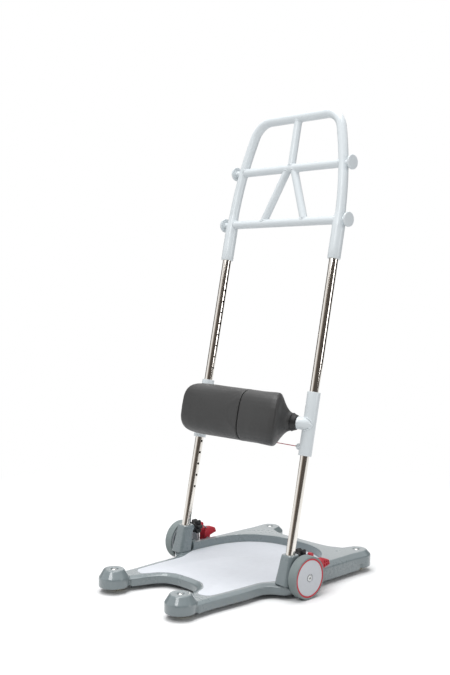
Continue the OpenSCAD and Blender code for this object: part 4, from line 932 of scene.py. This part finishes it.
class TURNER_OT_clamps(bpy.types.Operator):
    """Make the star knobs and screws that clamp the posts"""
    bl_idname = "turner.clamps"
    bl_label = "Clamp knobs"

    def execute(self, context):
        for side, word in SIDES:
            place = Matrix.Translation((side * POST_X, CLAMP_FACE_Y, CLAMP_Z)) @ ALONG_Y
            piece(f"{word}_star_knob", knob_shape(), f"{word}_clamp", "black", (f"{word}_clamp_knob",),
                place, 50)
            eased(f"{word}_clamp_rod", f"{word}_clamp_screw", f"{word}_clamp", "steel", 0.5)
        return {"FINISHED"}


def mark_bore(mesh, place):
    """Mark the faces of a post that lie inside its skin, the bore and the walls of the holes, where the
    post's finish paints shade.
    """
    back = place.inverted()
    reach = (POST_R - 0.25) * MM
    flags = [1.0 if (back @ polygon.center).to_2d().length < reach else 0.0 for polygon in mesh.polygons]
    mesh.attributes.new("inside", "FLOAT", "FACE").data.foreach_set("value", flags)


class TURNER_OT_posts(bpy.types.Operator):
    """Make the two posts with their rows of holes"""
    bl_idname = "turner.posts"
    bl_label = "Posts"

    def execute(self, context):
        middle = (POST_BOTTOM + POST_TOP) / 2
        for side, word in SIDES:
            tree = shared(perforated_post)
            seed = bpy.data.meshes.new("post_seed")
            mesh = grown(f"{word}_post_tube", tree, seed, {
                "Length": (POST_TOP - POST_BOTTOM) * MM, "Low hole": (LOW_HOLE - middle) * MM,
                "High hole": (HIGH_HOLE - middle) * MM, "Side": float(-side), "Material": material("post")})
            place = in_metres(MAST @ Matrix.Translation((side * POST_X, 0, middle)))
            mesh.transform(place)
            shaded(cleaned(mesh), 40)
            # Marks the bore and the walls of the holes for the painted shade in the post's finish.
            mark_bore(mesh, place)
            finish(linked(f"{word}_post_tube", mesh), "mast", "post", (f"{word}_post",))
        return {"FINISHED"}


def side_turn(s):
    """How far a side of the hoop has turned inwards at one place along the posts."""
    return math.asin(max(s - SIDE_BOW_S, 0) / SIDE_BOW_R)


def hoop_x(s):
    return POST_X - SIDE_BOW_R * (1 - math.cos(side_turn(s)))


def hoop_path():
    """The line of the bent tube in the plane of the posts."""
    corner_s = TOP_BAR - CORNER_R
    lean = math.asin((corner_s - SIDE_BOW_S) / (SIDE_BOW_R - CORNER_R))
    corner_x = POST_X - SIDE_BOW_R + (SIDE_BOW_R - CORNER_R) * math.cos(lean)
    side = [lean * k / 24 for k in range(25)]
    corner = [lean + (math.pi / 2 - lean) * k / 24 for k in range(1, 25)]
    half = [(POST_X, 0, POST_TOP + 0.3)]
    half += [(POST_X - SIDE_BOW_R * (1 - math.cos(a)), 0,
        SIDE_BOW_S + SIDE_BOW_R * math.sin(a)) for a in side]
    half += [(corner_x + CORNER_R * math.cos(a), 0, corner_s + CORNER_R * math.sin(a)) for a in corner]
    half.append((corner_x / 2, 0, TOP_BAR))
    return half + [(0, 0, TOP_BAR)] + [(-x, y, s) for x, y, s in reversed(half)]


def swage_r(s):
    """Radius of a joining sleeve, which narrows to the handle tube above its straight part."""
    t = min(max((s - SLEEVE_HIGH) / (SWAGE_TOP - SLEEVE_HIGH), 0), 1)
    return SLEEVE_R - (SLEEVE_R - HOOP_R) * t * t * (3 - 2 * t)


def joining_sleeve(side):
    """A sleeve from its lower lip over the post's end, narrowing onto the handle tube."""
    lip = [(0, 1.2), (0.3, 0.55), (0.7, 0.2), (1.3, 0)]
    stations = [(SLEEVE_LOW + up, SLEEVE_R - less) for up, less in lip]
    stations += [(SLEEVE_LOW + 30, SLEEVE_R), (POST_TOP, SLEEVE_R), (POST_TOP + 0.3, SLEEVE_R)]
    rises = [SLEEVE_HIGH + (SWAGE_TOP - SLEEVE_HIGH) * k / 20 for k in range(21)]
    stations += [(s, swage_r(s) + RUN_FIT) for s in rises]
    path = [(side * hoop_x(s), 0, s) for s, r in stations]
    bores = [POST_R if s <= POST_TOP else HOOP_R - 0.1 for s, r in stations]
    return swept(path, [r for s, r in stations], bores, 72)


def joint_line(start, toward, radius, on_point, on_axis, on_radius):
    """Where a round bar meets the skin of another: points on the bar, walked out to that skin."""
    start, axis = Vector(start), (Vector(toward) - Vector(start)).normalized()
    main, origin = Vector(on_axis).normalized(), Vector(on_point)
    u = axis.orthogonal().normalized()
    v = axis.cross(u)
    line = []
    for k in range(SEAM_POINTS):
        a = 2 * math.pi * k / SEAM_POINTS
        p = start + radius * (u * math.cos(a) + v * math.sin(a)) - origin
        w, d = p - main * p.dot(main), axis - main * axis.dot(main)
        aa, bb, cc = d.dot(d), w.dot(d), w.dot(w) - on_radius ** 2
        root = bb * bb - aa * cc
        t = (-bb + math.sqrt(max(root, 0.0))) / aa
        line.append(tuple(p + origin + axis * t))
    return line


def seams(name, lines, body, place):
    """Painted weld seams along closed lines of points."""
    verts, edges = [], []
    for line in lines:
        start = len(verts)
        verts += [tuple(MM * (place @ Vector(p))) for p in line]
        edges += [(start + k, start + (k + 1) % len(line)) for k in range(len(line))]
    mesh = bpy.data.meshes.new(name)
    mesh.from_pydata(verts, edges, [])
    tree = shared(weld_seam)
    result = grown(name, tree, mesh, {"Pitch": sizes().bead_pitch, "Bead radius": sizes().bead_r,
                                      "Material": material("white")})
    return finish(linked(name, result), body, "white")


def sleeve_shape(length, bore, reach):
    """A turned sleeve about Z with softly rounded lips."""
    return lathe(filleted([(bore, 0), (reach, 0), (reach, length), (bore, length)], [0.4, 1.2, 1.2, 0.4]),
            72)


class TURNER_OT_handle(bpy.types.Operator):
    """Make the handle: sleeves, bent hoop, rails, bars, studs and weld seams"""
    bl_idname = "turner.handle"
    bl_label = "Handle"

    def execute(self, context):
        piece("hoop_tube", swept(hoop_path(), HOOP_R, HOOP_R - HOOP_WALL), "mast", "white",
            ("handle_hoop",), MAST)
        sleeves = [joining_sleeve(side) for side in (LEFT, RIGHT)]
        piece("sleeve_pair", joined(*sleeves), "mast", "white", ("handle_sleeves",), MAST)
        lines = []
        for name, node, s in (("high_rail_tube", "upper_rail", HIGH_RAIL),
                ("low_rail_tube", "lower_rail", LOW_RAIL)):
            reach = hoop_x(s) - 9
            piece(name, swept([(-reach, 0, s), (0, 0, s), (reach, 0, s)], RAIL_R, RAIL_R - TUBE_WALL),
                "mast", "white", (node,), MAST)
            for side in (LEFT, RIGHT):
                slope = -math.tan(side_turn(s))
                lines.append(joint_line((side * hoop_x(s), 0, s), (0, 0, s), RAIL_R,
                    (side * hoop_x(s), 0, s),
                                        (side * slope, 0, 1), swage_r(s)))
        top, low = (0, 0, TOP_BAR - 9), (0, 0, HIGH_RAIL + 8)
        piece("middle_bar_tube", swept([low, (0, 0, 1120), top], STRUT_R, STRUT_R - TUBE_WALL), "mast",
            "white", ("centre_bar",), MAST)
        lines.append(joint_line((0, 0, TOP_BAR), (0, 0, HIGH_RAIL), STRUT_R, (0, 0, TOP_BAR), (1, 0, 0),
            HOOP_R))
        lines.append(joint_line((0, 0, HIGH_RAIL), (0, 0, TOP_BAR), STRUT_R, (0, 0, HIGH_RAIL), (1, 0, 0),
            RAIL_R))
        struts = []
        for side in (LEFT, RIGHT):
            foot, head = Vector((side * STRUT_SPREAD, 0, LOW_RAIL)), Vector((side * STRUT_R, 0, HIGH_RAIL))
            way = (head - foot).normalized()
            struts.append(swept([foot + 8 * way, (foot + head) / 2, head - 7 * way], STRUT_R,
                STRUT_R - TUBE_WALL))
            lines.append(joint_line(foot, head, STRUT_R, foot, (1, 0, 0), RAIL_R))
            lines.append(joint_line(head, foot, STRUT_R, head, (1, 0, 0), RAIL_R))
        piece("strut_tubes", joined(*struts), "mast", "white", ("handle_struts",), MAST)
        seams("handle_seams", lines, "mast", MAST)
        thick, reach = STUD_DISC_THICK, STUD_REACH
        stud = [(0, HOOP_R - 4), (STUD_STEM_R, HOOP_R - 4), (STUD_STEM_R, reach - thick),
            (STUD_DISC_R, reach - thick),
                (STUD_DISC_R, reach), (0, reach)]
        stud = filleted(stud, [0, 0, 1.5, 2.2, 2.6, 0], 6)
        studs = [moved(lathe(stud, 72), Matrix.Translation((side * hoop_x(s), 0, s)) @ facing(side))
                 for side in (LEFT, RIGHT) for s in (LOW_RAIL, HIGH_RAIL)]
        piece("stud_set", joined(*studs), "mast", "white", ("belt_studs",), MAST)
        return {"FINISHED"}


def bow_values():
    elbow_r = BAR_AHEAD / math.cos(BAR_BOW)
    elbow_x = POST_X - elbow_r
    end_x = elbow_x + elbow_r * math.sin(BAR_BOW)
    bow_r = end_x / math.sin(BAR_BOW)
    return elbow_r, elbow_x, bow_r, bow_r * math.cos(BAR_BOW) - BAR_AHEAD


def bow_point(a):
    bow_r, bow_y = bow_values()[2:]
    return (bow_r * math.sin(a), bow_y - bow_r * math.cos(a), BAR_S)


class TURNER_OT_support(bpy.types.Operator):
    """Make the leg support: sliding sleeves, cross tube, collars, pins and wire"""
    bl_idname = "turner.support"
    bl_label = "Leg support"

    def execute(self, context):
        elbow_r, elbow_x, bow_r = bow_values()[:3]
        bow = [bow_point(BAR_BOW * (2 * k / 48 - 1)) for k in range(49)]
        turn = [BAR_BOW + (math.pi / 2 - BAR_BOW) * k / 14 for k in range(1, 13)]
        elbow = [(elbow_x + elbow_r * math.sin(a), -elbow_r * math.cos(a), BAR_S) for a in turn]
        path = [(-x, y, s) for x, y, s in reversed(elbow)] + bow + elbow
        piece("cross_tube", swept(path, BAR_R, BAR_R - BAR_WALL), "support", "white", ("support_bar",),
            MAST)
        shapes, lines = [], []
        for side in (LEFT, RIGHT):
            sleeve = moved(sleeve_shape(SLIDE_LEN, POST_R + RUN_FIT, SLIDE_R),
                Matrix.Translation((side * POST_X, 0, SLIDE_LOW)))
            drill = swept([(side * PIN_BOSS_X, 0, PIN_S), (side * POST_X, 0, PIN_S)], PIN_R + RUN_FIT)
            shapes.append(drilled(sleeve, drill))
            boss = filleted([(PIN_R + RUN_FIT, 2), (PIN_BOSS_R, 2), (PIN_BOSS_R, POST_X - PIN_BOSS_X - 12),
                             (PIN_R + RUN_FIT, POST_X - PIN_BOSS_X - 12)], [0.2, 1.2, 0, 0])
            place = Matrix.Translation((side * (PIN_BOSS_X - 2), 0, PIN_S)) @ facing(side)
            shapes.append(moved(lathe(boss, 48), place))
            lines.append(joint_line((side * POST_X, 0, PIN_S), (0, 0, PIN_S), PIN_BOSS_R,
                (side * POST_X, 0, 0), (0, 0, 1), SLIDE_R))
            lines.append(joint_line((side * POST_X, 0, BAR_S), (side * POST_X, -100, BAR_S), BAR_R - 0.2,
                                    (side * POST_X, 0, 0), (0, 0, 1), SLIDE_R))
        piece("slide_pair", joined(*shapes), "support", "white", ("slide_sleeves",), MAST)
        seams("slide_seams", lines, "support", MAST)
        start = BAR_BOW - COLLAR_LEN / bow_r
        collars = []
        for side in (LEFT, RIGHT):
            angles = [start + (BAR_BOW - start) * k / 12 for k in range(13)]
            reach = [COLLAR_R + 1.2 - 4.2 * (k / 10) ** 0.7 for k in range(10)]
            reach += [COLLAR_R - 3.2, COLLAR_R - 3.7, COLLAR_R - 4.8]
            points = [bow_point(side * a) for a in angles]
            collars.append(swept(points, reach, BAR_R + RUN_FIT))
        piece("collar_pair", joined(*collars), "support", "black", ("neck_collars",), MAST)
        for word in WORDS:
            eased(f"{word}_pin_rod", f"{word}_lock_pin", frame_body(f"{word}_lock_pin"), "steel", 0.5)
            eased(f"{word}_wire_run", f"{word}_release_wire", frame_body(f"{word}_release_wire"), "red",
                0.2)
        grip = filleted([(WIRE_R + 0.1, -GRIP_HALF_LEN), (GRIP_R - 0.8, -GRIP_HALF_LEN),
            (GRIP_R - 0.8, GRIP_HALF_LEN),
                         (WIRE_R + 0.1, GRIP_HALF_LEN)], [0.2, 2.5, 2.5, 0.2], 6)
        body = frame_body("release_grip")
        piece("grip_bar", lathe(grip, 48), body, "black", ("release_grip",),
            MAST @ Matrix.Translation((0, 0, PIN_S)) @ ALONG_X)
        seed = bpy.data.meshes.new("rib_seed")
        ribs = grown("grip_bar_ribs", shared(grip_ribs), seed, {
            "Radius": (GRIP_R - 0.8) * MM, "Rib radius": 0.0008, "Pitch": 0.0055, "Count": 14,
                "Material": material("black")})
        ribs.transform(in_metres(MAST @ Matrix.Translation((0, 0, PIN_S))))
        finish(linked("grip_bar_ribs", ribs), body, "black")
        return {"FINISHED"}


def frame_body(node):
    """The body that a solid belongs to."""
    for body, members in frame["record"]["behaviour"]["bodies"].items():
        if node in members:
            return body
    raise RuntimeError(f"no body holds {node}")


def swell(obj, held):
    """Blow the pad up a little with cloth, with the held points kept, and cap how far its skin moves."""
    scene = bpy.context.scene
    mesh = obj.data
    rest = [v.co.copy() for v in mesh.vertices]
    group = obj.vertex_groups.new(name="held")
    group.add(held, 1.0, "REPLACE")
    cloth = obj.modifiers.new("swell", "CLOTH")
    settings = cloth.settings
    settings.quality = 6
    settings.mass = 0.3
    settings.tension_stiffness = settings.compression_stiffness = 60
    settings.bending_stiffness = 6
    settings.use_pressure = True
    settings.uniform_pressure_force = 2
    settings.vertex_group_mass = "held"
    settings.effector_weights.gravity = 0
    cloth.collision_settings.use_collision = False
    cloth.point_cache.frame_start, cloth.point_cache.frame_end = 1, CLOTH_FRAMES
    for step in range(1, CLOTH_FRAMES + 1):
        scene.frame_set(step)
    deps = bpy.context.evaluated_depsgraph_get()
    swollen = obj.evaluated_get(deps).to_mesh()
    cap = sizes().pad_cap
    moved_to = []
    for was, now in zip(rest, swollen.vertices):
        step = now.co - was
        moved_to.append(was + step * min(1.0, cap / max(step.length, 1e-9)))
    obj.evaluated_get(deps).to_mesh_clear()
    obj.modifiers.clear()
    obj.vertex_groups.clear()
    scene.frame_set(1)
    for vertex, place in zip(mesh.vertices, moved_to):
        vertex.co = place


def grooved(mesh, to_mast, split):
    """Pull the skin of the pad in along the joint between its halves."""
    normals = [v.normal.copy() for v in mesh.vertices]
    for v, normal in zip(mesh.vertices, normals):
        away = abs((to_mast @ (v.co / MM)).x - split)
        if away < GROOVE_REACH:
            v.co -= normal * MM * GROOVE_DEPTH * (1 - away / GROOVE_REACH) ** 2


class TURNER_OT_pad(bpy.types.Operator):
    """Make the two-part leg pad and swell it"""
    bl_idname = "turner.pad"
    bl_label = "Pad"

    def execute(self, context):
        to_mast = MAST.inverted()
        bow_r, bow_y = bow_values()[2:]
        for word in WORDS:
            obj = cad_copy(f"{word}_pad_foam", f"{word}_pad")
            remeshed(obj, sizes().pad_voxel)
            settled(obj)
            mesh = obj.data
            split = PAD_SPLIT_X + (PAD_SPLIT_GAP / 2 if word == "right" else -PAD_SPLIT_GAP / 2)
            held = []
            normals = [v.normal.copy() for v in mesh.vertices]
            for v, normal in zip(mesh.vertices, normals):
                p = to_mast @ (v.co / MM)
                from_tube = math.hypot(math.hypot(p.x, p.y - bow_y) - bow_r, p.z - BAR_S)
                if from_tube < BAR_R + HOLD_TUBE:
                    held.append(v.index)
                    continue
                away = abs(p.x - split)
                v.co -= normal * sizes().pad_shrink * min(away / SHRINK_REACH, 1)
                if away < HOLD_JOINT:
                    v.co.x = split * MM
                    held.append(v.index)
            swell(obj, held)
            soften = obj.modifiers.new("soften", "SMOOTH")
            soften.factor, soften.iterations = 0.4, 1
            finer = obj.modifiers.new("finer", "SUBSURF")
            finer.levels = finer.render_levels = 1
            settled(obj)
            grooved(obj.data, to_mast, split)
            shaded(obj.data, 70)
            finish(obj, "support", "pad", (f"{word}_pad",))
        return {"FINISHED"}


# Studio

def bare_tree(owner):
    """The emptied node tree of a new material or world."""
    owner.use_nodes = True
    owner.node_tree.nodes.clear()
    return owner.node_tree


def seen_rays(tree):
    """One for rays from the camera, also by way of a mirror or through glass, and nought for others."""
    rays = tree.nodes.new("ShaderNodeLightPath").outputs
    seen = summed(tree, rays["Is Camera Ray"], rays["Is Glossy Ray"], "MAXIMUM")
    return summed(tree, seen, rays["Is Transmission Ray"], "MAXIMUM")


class TURNER_OT_studio(bpy.types.Operator):
    """Set up the camera, the pale floor, the lamps and the backdrop light"""
    bl_idname = "turner.studio"
    bl_label = "Studio"

    def execute(self, context):
        scene = context.scene
        scene.view_settings.view_transform = "Standard"
        self.camera(scene)
        self.floor()
        self.world(scene)
        self.lamps()
        self.dark_cards()
        return {"FINISHED"}

    def camera(self, scene):
        data = bpy.data.cameras.new("photo_camera")
        data.lens = LENS
        data.clip_end = 50
        camera = bpy.data.objects.new("photo_camera", data)
        scene.collection.objects.link(camera)
        back = Vector(CAMERA_BACK).normalized()
        right = Vector(CAMERA_RIGHT).normalized()
        up = back.cross(right).normalized()
        right = up.cross(back)
        roll = math.radians(CAMERA_ROLL)
        across = math.cos(roll) * right + math.sin(roll) * up
        rise = -math.sin(roll) * right + math.cos(roll) * up
        turn = Matrix((across, rise, back)).transposed().to_4x4()
        camera.matrix_world = Matrix.Translation(CAMERA_PLACE) @ turn
        scene.camera = camera

    def floor(self):
        steps = 96
        turns = [2 * math.pi * k / steps for k in range(steps)]
        mesh = bpy.data.meshes.new("studio_floor")
        mesh.from_pydata([(FLOOR_R * math.cos(a), FLOOR_R * math.sin(a), FLOOR_Z) for a in turns], [],
                         [tuple(range(steps))])
        floor = linked("studio_floor", mesh)
        paint = bpy.data.materials.new("studio_floor")
        tree = bare_tree(paint)
        out = tree.nodes.new("ShaderNodeOutputMaterial")
        diffuse = tree.nodes.new("ShaderNodeBsdfDiffuse")
        diffuse.inputs["Color"].default_value = (0.97, 0.97, 0.97, 1)
        bounce = tree.nodes.new("ShaderNodeBsdfDiffuse")
        bounce.inputs["Color"].default_value = (0.58, 0.58, 0.58, 1)
        ground = tree.nodes.new("ShaderNodeMixShader")
        glow = tree.nodes.new("ShaderNodeEmission")
        glow.inputs["Strength"].default_value = 1.0
        place = tree.nodes.new("ShaderNodeTexCoord")
        length = tree.nodes.new("ShaderNodeVectorMath")
        length.operation = "LENGTH"
        tree.links.new(place.outputs["Object"], length.inputs[0])
        far = ranged(tree, length.outputs["Value"], FADE_START, FADE_END, 0.0, 1.0)
        seen = seen_rays(tree)
        tree.links.new(seen, ground.inputs[0])
        tree.links.new(bounce.outputs[0], ground.inputs[1])
        tree.links.new(diffuse.outputs[0], ground.inputs[2])
        blend = tree.nodes.new("ShaderNodeMixShader")
        tree.links.new(summed(tree, far, seen, "MULTIPLY"), blend.inputs[0])
        tree.links.new(ground.outputs[0], blend.inputs[1])
        tree.links.new(glow.outputs[0], blend.inputs[2])
        tree.links.new(blend.outputs[0], out.inputs["Surface"])
        mesh.materials.append(paint)

    def world(self, scene):
        world = bpy.data.worlds.new("studio_backdrop")
        scene.world = world
        tree = bare_tree(world)
        out = tree.nodes.new("ShaderNodeOutputWorld")
        shown = tree.nodes.new("ShaderNodeBackground")
        shown.inputs["Color"].default_value = (1, 1, 1, 1)
        soft = tree.nodes.new("ShaderNodeBackground")
        soft.inputs["Color"].default_value = (0.96, 0.98, 1.0, 1)
        soft.inputs["Strength"].default_value = 0.45
        seen = seen_rays(tree)
        mix = tree.nodes.new("ShaderNodeMixShader")
        tree.links.new(seen, mix.inputs[0])
        tree.links.new(soft.outputs[0], mix.inputs[1])
        tree.links.new(shown.outputs[0], mix.inputs[2])
        tree.links.new(mix.outputs[0], out.inputs["Surface"])

    def lamp(self, name, place, aim, size, power):
        data = bpy.data.lights.new(name, "AREA")
        data.shape = "RECTANGLE"
        data.size, data.size_y = size
        data.energy = power
        lamp = bpy.data.objects.new(name, data)
        bpy.context.scene.collection.objects.link(lamp)
        lamp.location = place
        lamp.rotation_euler = (Vector(aim) - Vector(place)).to_track_quat("-Z", "Y").to_euler()

    def lamps(self):
        self.lamp("top_box", (-0.5, -0.15, 5.0), (0, 0, 0.3), (3.8, 3.8), 190)
        self.lamp("left_box", (0.5, -1.9, 2.0), (0, 0, 0.3), (1.0, 0.8), 17)
        self.lamp("right_box", (2.5, 1.0, 1.0), (0, 0, 0.5), (0.5, 1.0), 11)

    def dark_cards(self):
        """Dark cards that only mirror-like metal sees, as in a room behind the camera."""
        cards = (("dark_card_room", 0.1, -78, 31, -0.2, 2.6), ("dark_card_edge", 0.4, -100, -78, -0.2, 2.6),
                 ("dark_card_right", 0.08, 31, 118, 0.12, 2.0),
                     ("dark_card_back", 0.12, 150, 205, 0.2, 2.0))
        for name, level, start, end, low, high in cards:
            paint = bpy.data.materials.new(name)
            tree = bare_tree(paint)
            glow = tree.nodes.new("ShaderNodeEmission")
            glow.inputs["Color"].default_value = (level, 0.88 * level, 0.78 * level, 1)
            tree.links.new(glow.outputs[0], tree.nodes.new("ShaderNodeOutputMaterial").inputs["Surface"])
            turns = [math.radians(start + (end - start) * k / 24) for k in range(25)]
            rows = [[(CARD_R * math.cos(a), CARD_R * math.sin(a), z) for a in turns] for z in (low, high)]
            mesh = bpy.data.meshes.new(name)
            mesh.from_pydata(rows[0] + rows[1], [], [(k, k + 1, k + 26, k + 25) for k in range(24)])
            card = linked(name, mesh)
            mesh.materials.append(paint)
            card.visible_camera = card.visible_diffuse = card.visible_shadow = False
            card.visible_transmission = False


class TURNER_PT_panel(bpy.types.Panel):
    """Lists what makes the patient turner"""
    bl_label = "Patient turner"
    bl_idname = "TURNER_PT_panel"
    bl_space_type = "VIEW_3D"
    bl_region_type = "UI"
    bl_category = "Turner"

    def draw(self, context):
        for group in (colours(), sizes()):
            for label in group.bl_rna.properties.keys():
                if label not in ("rna_type", "name"):
                    self.layout.prop(group, label)
        for operator in PIECES:
            self.layout.operator(operator.bl_idname)


PIECES = (TURNER_OT_studio, TURNER_OT_base, TURNER_OT_wheels, TURNER_OT_castors, TURNER_OT_brakes,
    TURNER_OT_clamps,
          TURNER_OT_posts, TURNER_OT_handle, TURNER_OT_support, TURNER_OT_pad)
CLASSES = (TurnerColours, TurnerSizes) + PIECES + (TURNER_PT_panel,)


def register():
    for cls in CLASSES:
        bpy.utils.register_class(cls)
    bpy.types.Scene.turner_colours = bpy.props.PointerProperty(type=TurnerColours)
    bpy.types.Scene.turner_sizes = bpy.props.PointerProperty(type=TurnerSizes)


def unregister():
    del bpy.types.Scene.turner_colours
    del bpy.types.Scene.turner_sizes
    for cls in reversed(CLASSES):
        bpy.utils.unregister_class(cls)


def main():
    register()
    bpy.ops.turner.studio()
    bpy.ops.turner.base()
    bpy.ops.turner.wheels()
    bpy.ops.turner.castors()
    bpy.ops.turner.brakes()
    bpy.ops.turner.clamps()
    bpy.ops.turner.posts()
    bpy.ops.turner.handle()
    bpy.ops.turner.support()
    bpy.ops.turner.pad()
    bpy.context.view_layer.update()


if __name__ == "__main__":
    main()
